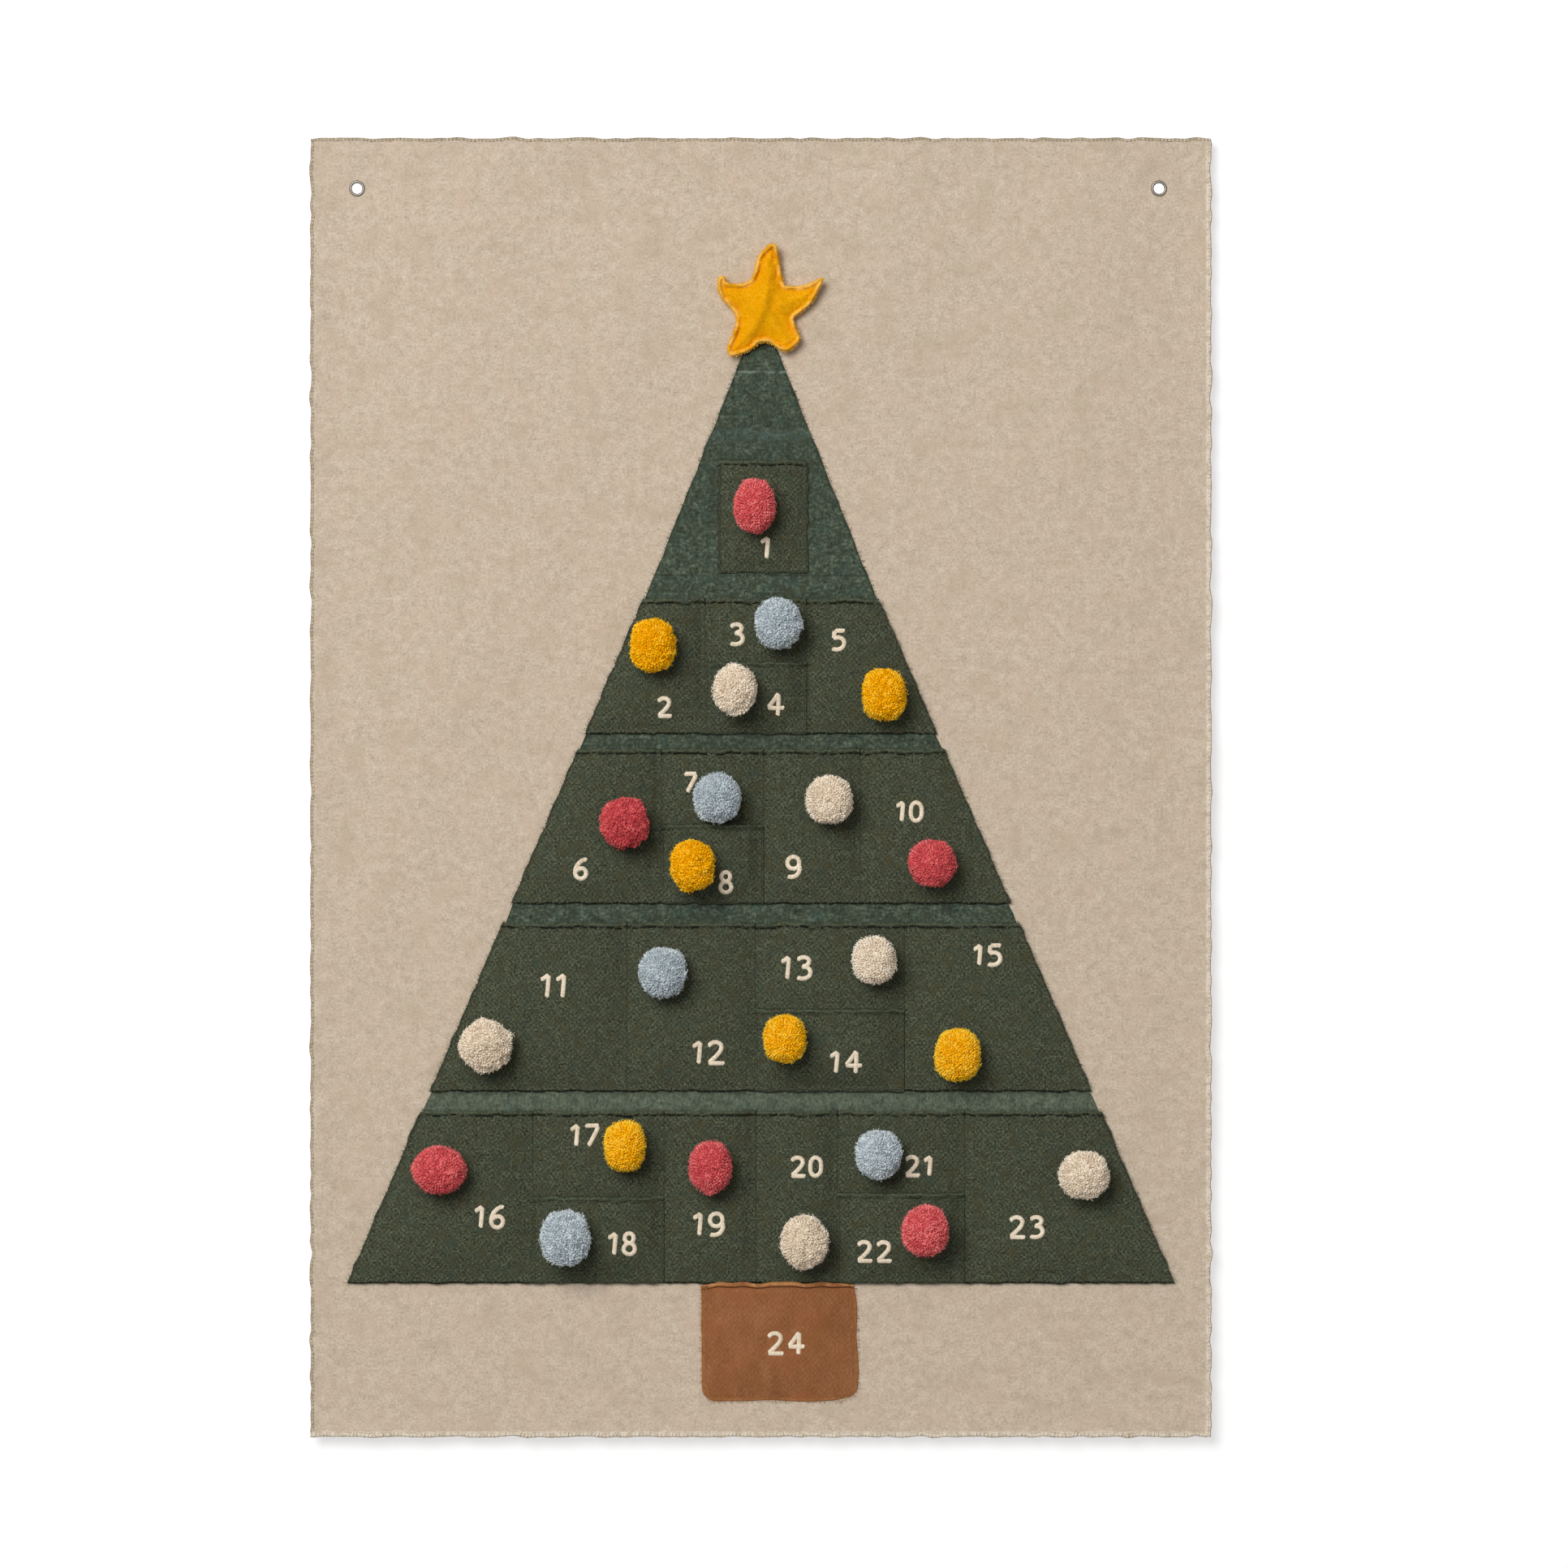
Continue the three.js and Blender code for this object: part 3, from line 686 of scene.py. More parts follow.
class Recipe:
    """A Geometry Nodes tree with named inputs. Each kind lays out its own nodes."""

    name = "recipe"
    wants: dict[str, str] = {}
    tones = (0.34, 0.67)

    def __init__(self) -> None:
        """Build the tree once."""
        self.tree = bpy.data.node_groups.new(self.name, "GeometryNodeTree")
        self.node = partial(add_node, self.tree)
        socket = self.tree.interface.new_socket
        socket("Geometry", in_out="INPUT", socket_type="NodeSocketGeometry")
        self.identifiers = {want: socket(want, in_out="INPUT", socket_type="NodeSocket" + kind).identifier
                            for want, kind in self.wants.items()}
        socket("Geometry", in_out="OUTPUT", socket_type="NodeSocketGeometry")
        self.given = self.node("NodeGroupInput").outputs
        self.node("NodeGroupOutput", {0: self.lay_out()})

    def lay_out(self) -> Feed:
        """Lay out the nodes and give the finished geometry."""
        raise NotImplementedError

    def chance(self, low: Feed | float, high: Feed | float, salt: int) -> Feed:
        """Give a number drawn for each strand."""
        seed = self.node(MATH, {0: self.given["Seed"], 1: float(salt)}, operation="ADD")
        return self.node("FunctionNodeRandomValue", {2: low, 3: high, 8: seed}, data_type="FLOAT").outputs[1]

    def jitter(self, reach: Feed, salt: int) -> Feed:
        """Give a number drawn evenly on both sides of zero."""
        low = self.node(MATH, {0: reach, 1: -1.0}, operation="MULTIPLY")
        return self.chance(low, reach, salt)

    def strand(self) -> Feed:
        """Make one strand: a round section along a curve from the tree's own inputs."""
        corners = {want: self.given[want] for want in ("Start", "Start Handle", "End Handle", "End")}
        line = self.node("GeometryNodeCurvePrimitiveBezierSegment", {"Resolution": self.given["Steps"], **corners})
        radius = self.node(MATH, {0: self.given["Thickness"], 1: 0.5}, operation="MULTIPLY")
        section = self.node("GeometryNodeCurvePrimitiveCircle", {"Resolution": self.given["Sides"], "Radius": radius})
        tube = self.node("GeometryNodeCurveToMesh", {"Curve": line, "Profile Curve": section, "Fill Caps": True})
        return self.node("GeometryNodeSetShadeSmooth", {0: tube})

    def set_on(self, points: Feed, shape: Feed, heading: Feed, width: Feed | float = 1.0) -> Feed:
        """Set a shape on points, turned and sized by chance.

        Args:
            points: where the copies go.
            shape: what is copied.
            heading: how each copy faces.
            width: its width as a share of its size.
        Returns:
            The copies.
        """
        turns = (("Tilt", 11), ("Tilt", 23), ("Turn", 37))
        spin = self.node("ShaderNodeCombineXYZ",
                         {axis: self.jitter(self.given[want], salt) for axis, (want, salt) in enumerate(turns)})
        turned = self.node("FunctionNodeRotateRotation", {
            0: heading, 1: self.node("FunctionNodeEulerToRotation", {0: spin}),
        }, rotation_space="LOCAL")
        size = self.chance(self.given["Smallest"], self.given["Largest"], 53)
        across = self.node(MATH, {0: size, 1: width}, operation="MULTIPLY")
        scale = self.node("ShaderNodeCombineXYZ", {0: size, 1: across, 2: size})
        return self.node("GeometryNodeInstanceOnPoints", {
            "Points": points, "Instance": shape, "Rotation": turned, "Scale": scale,
        })

    def finish_strands(self, strands: Feed) -> Feed:
        """Give each strand its tone, make the strands real and set their material."""
        toned = self.node("GeometryNodeStoreNamedAttribute", {
            "Geometry": strands, "Name": TONE, "Value": self.chance(*self.tones, 91),
        }, data_type="FLOAT", domain="INSTANCE")
        real = self.node("GeometryNodeRealizeInstances", {0: toned})
        return self.node("GeometryNodeSetMaterial", {"Geometry": real, "Material": self.given["Material"]})

    def run(self, name: str, source: Piece, values: dict) -> Piece:
        """Run the tree on a source object, which it uses up.

        Args:
            name: the name of the piece that it makes.
            source: the object that carries the modifier.
            values: the tree's inputs by name.
        Returns:
            A plain mesh object.
        """
        modifier = source.modifiers.new(self.name, "NODES")
        modifier.node_group = self.tree
        for want, value in values.items():
            modifier[self.identifiers[want]] = value
        depsgraph = bpy.context.evaluated_depsgraph_get()
        mesh = bpy.data.meshes.new_from_object(
            source.evaluated_get(depsgraph), preserve_all_data_layers=True, depsgraph=depsgraph,
        )
        bpy.data.objects.remove(source)
        mesh.name = name
        return show(name, mesh)


STRAND_WANTS = {
    "Start": "Vector", "Start Handle": "Vector", "End Handle": "Vector", "End": "Vector", "Thickness": "Float",
    "Sides": "Int", "Steps": "Int", "Turn": "Float", "Tilt": "Float", "Smallest": "Float", "Largest": "Float",
    "Seed": "Int", "Material": "Material",
}


class ThreadsAlongPath(Recipe):
    """Threads at even steps along a path.

    In a thread's own axes X runs along the path, Y is left of it as seen from the front, and Z faces the
    front.
    """

    name = "threads along a path"
    wants = {"Spacing": "Float", "Round Ends": "Float", **STRAND_WANTS}

    def lay_out(self) -> Feed:
        """Step along the path and set a strand across each step."""
        path = self.node("GeometryNodeMeshToCurve", {0: self.given["Geometry"]})
        steps = self.node("GeometryNodeResampleCurve", {"Curve": path, "Length": self.given["Spacing"]}, mode="LENGTH")
        tangent = self.node("GeometryNodeInputTangent")
        heading = self.node("FunctionNodeAxesToRotation", {0: tangent, 1: (0, -1, 0)}, primary_axis="X",
                            secondary_axis="Z")
        return self.finish_strands(self.set_on(steps, self.strand(), heading, self.end_width()))

    def end_width(self) -> Feed:
        """Narrow the threads near the two ends of an open path, so that its ends are round."""
        walked = self.node("GeometryNodeSplineParameter").outputs["Length"]
        whole = self.node("GeometryNodeSplineLength").outputs["Length"]
        left = self.node(MATH, {0: whole, 1: walked}, operation="SUBTRACT")
        near = self.node(MATH, {0: walked, 1: left}, operation="MINIMUM")
        part = self.node(MATH, {0: near, 1: self.given["Round Ends"]}, operation="DIVIDE")
        short = self.node(MATH, {0: 1.0, 1: part}, operation="SUBTRACT", use_clamp=True)
        square = self.node(MATH, {0: short, 1: 2.0}, operation="POWER")
        # The end itself keeps a little width
        rest = self.node(MATH, {0: 1.05, 1: square}, operation="SUBTRACT")
        open_width = self.node(MATH, {0: rest, 1: 0.5}, operation="POWER")
        loop = self.node("GeometryNodeInputSplineCyclic")
        return self.node("GeometryNodeSwitch", {0: loop, 1: open_width, 2: 1.0}, input_type="FLOAT")


class FibresOnSurface(Recipe):
    """Loose fibres spread evenly over a surface. In a fibre's own axes Z is the surface's normal."""

    name = "fibres on a surface"
    wants = {"Spacing": "Float", **STRAND_WANTS}

    def lay_out(self) -> Feed:
        """Spread points and set a fibre on each."""
        return self.finish_strands(self.spread(self.strand(), self.given["Spacing"]))

    def spread(self, shape: Feed, spacing: Feed) -> Feed:
        """Set a shape on evenly spread points."""
        spots = self.node("GeometryNodeDistributePointsOnFaces", {
            "Mesh": self.given["Geometry"], "Distance Min": spacing, "Density Max": 4e6, "Seed": self.given["Seed"],
        }, distribute_method="POISSON")
        return self.set_on(spots, shape, spots.outputs["Rotation"])


class CutYarnBall(FibresOnSurface):
    """A ball of cut yarn: blunt ends packed side by side over a core, and stray fibres between them."""

    name = "cut yarn ball"
    wants = {"Spacing": "Float", "Tuft": "Vector", "Stray Spacing": "Float", **STRAND_WANTS}

    def lay_out(self) -> Feed:
        """Pack yarn ends over the core and add the strays."""
        end = self.node("GeometryNodeMeshIcoSphere", {"Radius": 0.5, "Subdivisions": 1})
        smooth = self.node("GeometryNodeSetShadeSmooth", {0: end})
        tuft = self.node("GeometryNodeTransform", {"Geometry": smooth, "Scale": self.given["Tuft"]})
        tufts = self.finish_strands(self.spread(tuft, self.given["Spacing"]))
        strays = self.finish_strands(self.spread(self.strand(), self.given["Stray Spacing"]))
        return self.node("GeometryNodeJoinGeometry", {0: [self.given["Geometry"], tufts, strays]})


@dataclass(frozen=True)
class Strand:
    """The shape of one thread in its own axes, and how much its copies differ."""

    start: tuple[float, float, float]
    start_handle: tuple[float, float, float]
    end_handle: tuple[float, float, float]
    end: tuple[float, float, float]
    thickness: float
    sides: int = 5
    steps: int = 5
    turn: float = 0.0
    tilt: float = 0.0
    smallest: float = 1.0
    largest: float = 1.0

    def values(self, material: Material, seed: int) -> dict:
        """Give the tree's inputs for this strand, in metres."""
        given = {want: getattr(self, want.lower().replace(" ", "_")) for want in list(STRAND_WANTS)[:-2]}
        for want in ("Start", "Start Handle", "End Handle", "End", "Thickness"):
            given[want] = (np.array(given[want]) * MM).tolist()
        for want in ("Turn", "Tilt"):
            given[want] = math.radians(given[want])
        return {**given, "Seed": seed, "Material": material}


def running_stitch(length: float, thickness: float, inward: float = 0.0, lift: float = 0.0) -> Strand:
    """Shape a stitch that lies along its seam, some way in from the path and above it.

    Args:
        length: its length.
        thickness: its thread's thickness.
        inward: how far in it lies.
        lift: how far above the path it lies.
    Returns:
        The stitch.
    """
    half = length / 2
    top = lift + thickness
    return Strand((-half, -inward, lift), (-half / 2, -inward, top), (half / 2, -inward, top),
                  (half, -inward, lift), thickness, turn=8, smallest=0.85, largest=1.1)


def overlock_stitch(reach: float, cloth: float, thickness: float) -> Strand:
    """Shape a loop that goes round the edge of a cloth, from its front to its back.

    Args:
        reach: how far in from the edge it goes.
        cloth: the cloth's thickness.
        thickness: the thread's thickness.
    Returns:
        The loop.
    """
    half = cloth / 2 + thickness * 0.3
    return Strand((-0.6, -reach, half), (-0.3, reach * 0.6, half * 2.2), (0.3, reach * 0.6, -half * 2.2),
                  (0.6, -reach, -half), thickness, steps=8, turn=14, smallest=0.8, largest=1.15)


class Threader:
    """Lays threads with the shared trees."""

    def __init__(self) -> None:
        """Build the trees."""
        self.along = ThreadsAlongPath()
        self.over = FibresOnSurface()
        self.balls = CutYarnBall()

    def sew(self, name: str, lines: Sequence[Path], strand: Strand, spacing: float,
            material: Material, seed: int, closed: bool = False,
            round_ends: float = 0.001) -> Piece:
        """Lay threads along lines and give them as one plain mesh.

        Args:
            name: the new piece's name.
            lines: the paths, in millimetres.
            strand: the shape of one thread.
            spacing: the step between threads.
            material: their finish.
            seed: fixes what differs between them.
            closed: whether each line comes back to its start.
            round_ends: how far from an end the threads begin to narrow.
        Returns:
            The piece.
        """
        values = {"Spacing": spacing * MM, "Round Ends": round_ends * MM, **strand.values(material, seed)}
        return self.along.run(name, make_path(name + "_path", lines, closed), values)


def join(name: str, pieces: Sequence[Piece]) -> Piece:
    """Join pieces into one object and keep their materials."""
    with bpy.context.temp_override(active_object=pieces[0], selected_editable_objects=list(pieces)):
        bpy.ops.object.join()
    pieces[0].name = name
    pieces[0].data.name = name
    return pieces[0]


# The panel


@dataclass
class Panel:
    """The panel that carries everything: heavy brushed cloth, overlocked all round, on two eyelets."""

    thickness: float = 2.5
    cell: float = 4.1
    ripple_reach: float = 26.0
    ripple: Wander = Wander(3, 34, 120, 1.1)
    roll: Wander = Wander(4, 90, 260, 1.6)
    tree_margin: float = 56.0
    loosening: float = 60.0
    pucker: Wander = Wander(9, 17, 34, 0.7)
    pucker_reach: float = 24.0
    sway: Wander = Wander(5, 14, 60, 0.8)
    corner: float = 6.0
    eyelet_flat: float = 8.0
    eyelet_ease: float = 14.0
    barrel_hole: float = 5.0
    washer_seat: float = 6.55
    washer_depth: float = 1.5
    stitch_pitch: float = 2.9

    def __post_init__(self) -> None:
        """Read the panel's and the eyelets' places from the frame."""
        self.low, self.high = box_mm("backing_panel")
        self.eyelets = {side: sum(box_mm(f"eyelet_{side}")) / 2 for side in ("left", "right")}

    def _lines(self, stops: Sequence[float]) -> Points:
        """Place grid lines so that each stop is on one."""
        lines = [np.array([stops[0]])]
        for start, end in zip(stops, stops[1:]):
            lines.append(np.linspace(start, end, max(3, round((end - start) / self.cell)) + 1)[1:])
        return np.concatenate(lines)

    def grid(self) -> tuple[Points, Points, Points]:
        """Give the grid's columns, its rows and its front points."""
        columns = self._lines([self.low[0], self.eyelets["left"][0], self.eyelets["right"][0], self.high[0]])
        rows = self._lines([self.low[2], self.eyelets["left"][2], self.high[2]])
        x, z = np.meshgrid(columns, rows)
        side = np.minimum(x - self.low[0], self.high[0] - x)
        end = np.minimum(z - self.low[2], self.high[2] - z)
        near_edge = fade(np.minimum(side, end), self.ripple_reach)
        # Away from the tree the cloth hangs in broad soft rolls, and short puckers run in from its sides
        tree_low, tree_high = box_mm("tree_panel")
        beside = tree_high[0] * np.clip(1 - (z - tree_low[2]) / (tree_high[2] - tree_low[2]), 0, 1)
        loose = 1 - fade(abs(x) - beside - self.tree_margin, self.loosening)
        rise = np.clip(1.0 + self.ripple.over(x, z), 0, 2.6) * near_edge
        rise += np.clip(1.4 + self.roll.over(x, z), 0, 4) * loose
        rise += np.clip(self.pucker.over(x * 0.35, z), 0, 2) * fade(side, self.pucker_reach)
        for middle in self.eyelets.values():
            off = np.hypot(x - middle[0], z - middle[2])
            rise *= np.clip((off - self.eyelet_flat) / self.eyelet_ease, 0, 1)
        sway_x = self.sway.along(z) * fade(side, self.ripple_reach)
        sway_z = self.sway.along(x + 999) * fade(end, self.ripple_reach)
        corner = np.clip(np.minimum(side, end) / self.corner, 0, 1)
        front = np.stack([x + sway_x * (corner + (side < end)), -self.thickness - rise,
                          z + sway_z * (corner + (end <= side))], -1)
        return columns, rows, front

    def build(self, finishes: Finishes, threader: Threader) -> None:
        """Make the panel, its overlocked edge and its eyelets."""
        columns, rows, front = self.grid()
        sheet = Sheet(front, self.thickness)
        for middle in self.eyelets.values():
            column, row = (int(np.argmin(abs(lines - place))) for lines, place in zip((columns, rows), middle[::2]))
            sheet.punch(column, row, self.barrel_hole, self.washer_seat, self.washer_depth)
        x, z = sheet.points[:, 0], sheet.points[:, 2]
        cloth = fit(sheet.build("backing_cloth", finishes.cream, {
            HEM: np.minimum(x - self.low[0], self.high[2] - z).clip(0, FAR),
            PALE_HEM: np.minimum(self.high[0] - x, z - self.low[2]).clip(0, FAR),
        }), "cream_cloth", "root", "backing_panel")
        hem = self._overlock(sheet, finishes, threader)
        log.info("panel: %d faces", len(cloth.data.polygons))
        for side, middle in self.eyelets.items():
            Eyelet(side, middle[0]).build(finishes)
            log.info("eyelet: %s", side)

    def _overlock(self, sheet: Sheet, finishes: Finishes, threader: Threader) -> Piece:
        """Sew over the edge: loops round it, and a needle thread along the inner ends of the loops.

        Args:
            sheet: the panel's cloth.
            finishes: the materials.
            threader: lays the threads.
        Returns:
            The threads as one piece.
        """
        ring = sheet.points[sheet.edge][::-1] + np.array([0, self.thickness / 2, 0])
        # The walk goes up the left side, and then along the top, down the right side and back along the foot
        half = sheet.rows + sheet.columns - 2
        foot = half + sheet.rows - 1
        drab_and_shade, pale = finishes.shaded_hem_thread, finishes.hem_thread
        runs = []
        for part, reach, thread in ((ring[:half + 1], 1.2, drab_and_shade), (ring[half:foot + 1], 1.4, pale),
                                    (ring[foot:], 2.6, pale)):
            needle = running_stitch(2.2, 0.4, reach + 0.3, self.thickness / 2 + 0.1)
            runs += [(part, overlock_stitch(reach, self.thickness, 0.62), thread, 7), (part, needle, thread, 8)]
        # A drab thread along the bottom edge's underside is painted shade, where the edge's underside is in shade
        runs.append((ring[foot:], running_stitch(2.7, 1.0, -0.3, 0.2), drab_and_shade, 9))
        parts = [threader.sew("hem", [part], stitch, self.stitch_pitch, thread, seed)
                 for part, stitch, thread, seed in runs]
        return fit(join("backing_overlock", parts), "cream_cloth", "root")


@dataclass
class Eyelet:
    """A flanged barrel rolled over a washer, turned smooth at the frame's own sizes."""

    side: str
    x: float
    sides: int = 72
    bore: float = 4.0
    wall: float = 0.7
    dome: float = 0.9
    chamfer: float = 0.15

    def build(self, finishes: Finishes) -> None:
        """Make the barrel and the washer."""
        low, high = box_mm(f"eyelet_{self.side}")
        flange = (high[0] - low[0]) / 2
        back = low[1] + self.dome
        outer = self.bore + self.wall
        middle = (self.bore + flange) / 2
        dome = [(middle + (flange - middle) * math.cos(a), back - self.dome * math.sin(a))
                for a in np.linspace(0, math.pi, 13)[:-1]]
        lip = [(outer, -0.4), (5.2, -0.45), (5.4, -0.25), (5.2, -0.05), (4.6, 0.0), (4.1, -0.1), (self.bore, -0.5)]
        self._turn("eyelet_ring", [*dome, (self.bore, back - 0.3), *lip[::-1], (outer, back)], "eyelet", finishes)
        low, high = box_mm(f"eyelet_washer_{self.side}")
        rim, hole = (high[0] - low[0]) / 2, outer + 0.3
        ring = [(hole, high[1]), (rim - self.chamfer, high[1]), (rim, high[1] - self.chamfer),
                (rim, low[1] + self.chamfer), (rim - self.chamfer, low[1]), (hole, low[1])]
        self._turn("eyelet_washer_ring", ring, "eyelet_washer", finishes)

    def _turn(self, name: str, section: Path, node: str, finishes: Finishes) -> None:
        """Turn a closed section, as radius and depth, about the eyelet's axis.

        Args:
            name: the piece's name without its side.
            section: the section's corners.
            node: the CAD node's name without its side.
            finishes: the materials.
        """
        count = len(section)
        points = []
        for angle in np.linspace(0, 2 * math.pi, self.sides, endpoint=False):
            points += [(self.x + r * math.cos(angle), y, r * math.sin(angle)) for r, y in section]
        n = np.arange(self.sides * count).reshape(self.sides, count)
        ahead, after = np.roll(n, -1, 1), np.roll(n, -1, 0)
        faces = np.stack([n, ahead, np.roll(ahead, -1, 0), after], -1).reshape(-1, 4).tolist()
        ring = make_piece(f"{name}_{self.side}", np.array(points), faces, finishes.nickel)
        fit(face_outwards(ring), "nickel", "root", f"{node}_{self.side}")


# The tree and its pockets


@dataclass(frozen=True)
class Side:
    """One side of a cloth: upright or leaning, rounded in at its foot and pinched in at its mouth."""

    at_foot: float
    foot: float
    lean: float = 0.0
    corner: float = 0.0
    inward: float = 0.0
    mouth: float = 0.0
    pinch: float = 0.0
    pinch_reach: float = 17.0

    def at(self, z: Points | float) -> Points:
        """Give its place across at a height."""
        short = np.clip(1 - (z - self.foot) / self.corner, 0, 1) if self.corner else 0.0
        pinched = self.pinch * np.exp((z - self.mouth) / self.pinch_reach)
        return self.at_foot + self.lean * (z - self.foot) + self.inward * (1 - np.sqrt(1 - short ** 2)) + pinched


@dataclass
class Tree:
    """The tree's own cloth, which shows as bare strips above the rows of pockets."""

    shoulder: float = 531.8
    shoulder_half: float = 90.0
    tip: float = 725.9
    tip_half: float = 12.4
    tip_round: float = 7.6
    cell: float = 4.0
    columns: int = 64
    sway: Wander = Wander(21, 9, 60, 0.55)

    def __post_init__(self) -> None:
        """Read the cloth's place from the frame."""
        self.low, self.high = box_mm("tree_panel")
        self.foot_half = self.high[0]
        self.lean = (self.foot_half - self.shoulder_half) / self.shoulder

    def half_at(self, z: Points) -> Points:
        """Give half the tree's width at a height."""
        up = z - self.low[2]
        lower = self.foot_half - self.lean * up
        upper = self.shoulder_half + (up - self.shoulder) * (self.tip_half - self.shoulder_half) / (
            self.tip - self.shoulder)
        cap = self.tip_half * np.sqrt(np.clip(1 - (up - self.tip) / self.tip_round, 0.002, 1))
        return np.where(up < self.shoulder, lower, np.where(up < self.tip, upper, cap))

    def build(self, finishes: Finishes, threader: Threader, bare: Sequence[tuple[float, float]]) -> Piece:
        """Make the cloth and the flecks on its bare strips.

        Args:
            finishes: the materials.
            threader: lays the fibres.
            bare: the lowest and highest place of each bare strip.
        Returns:
            The cloth.
        """
        body = np.arange(self.low[2], self.low[2] + self.tip, self.cell)
        cap = self.low[2] + self.tip + self.tip_round * np.sin(np.linspace(0, math.pi / 2, 7))
        rows = np.concatenate([body, cap])
        part = np.linspace(-1, 1, self.columns + 1)
        z, u = np.meshgrid(rows, part, indexing="ij")
        half = self.half_at(z) + self.sway.along(z + np.sign(u) * 777) * abs(u) ** 6
        front = np.stack([u * half, np.full(z.shape, self.low[1]), z], -1)
        sheet = Sheet(front, self.high[1] - self.low[1])
        x, z = sheet.points[:, 0], sheet.points[:, 2]
        cloth = fit(sheet.build("tree_cloth", finishes.melange, {
            HEM: (self.half_at(z) - abs(x)).clip(0, FAR), RISE: z - self.low[2],
        }), "tree_cloth", "root", "tree_panel")
        area = (self.foot_half + self.shoulder_half) * self.shoulder
        area += (self.shoulder_half + self.tip_half) * (self.tip - self.shoulder)
        log.info("tree: %d faces", len(cloth.data.polygons))
        self._flecks(finishes, threader, bare)
        return cloth

    def _flecks(self, finishes: Finishes, threader: Threader, bare: Sequence[tuple[float, float]]) -> None:
        """Spread pale fibres over the bare strips.

        Args:
            finishes: the materials.
            threader: lays the fibres.
            bare: the lowest and highest place of each bare strip.
        """
        points = []
        faces = []
        for low, high in bare:
            rows = np.linspace(low + 1.0, high - 1.0, max(2, int((high - low) / 12)))
            for i, z in enumerate(rows):
                half = float(self.half_at(z)) - 2.0
                points += [(-half, self.low[1], z), (half, self.low[1], z)]
                if i:
                    n = len(points)
                    faces.append([n - 4, n - 3, n - 1, n - 2])
        ground = make_piece("fleck_ground", np.array(points), faces, finishes.fleck)
        fibre = Strand((0, -1.3, 0), (0.2, -0.6, 0.4), (-0.2, 0.6, 0.4), (0, 1.3, 0), 0.5, sides=3, steps=3,
                       turn=38, tilt=8, smallest=0.6, largest=1.4)
        loose = threader.over.run("loose", ground, {"Spacing": 2.8 * MM, **fibre.values(finishes.fleck, 31)})
        heights = np.arange(bare[-1][0], self.low[2] + self.tip, 3.0)
        sides = [[(side * float(self.half_at(z)), self.low[1] + 0.6, float(z)) for z in heights[::-side]]
                 for side in (-1, 1)]
        fringe = threader.sew("fringe", sides, PocketMaker.fringe, 1.3, finishes.fray, 32)
        fit(join("tree_flecks", [loose, fringe]), "tree_cloth", "root")


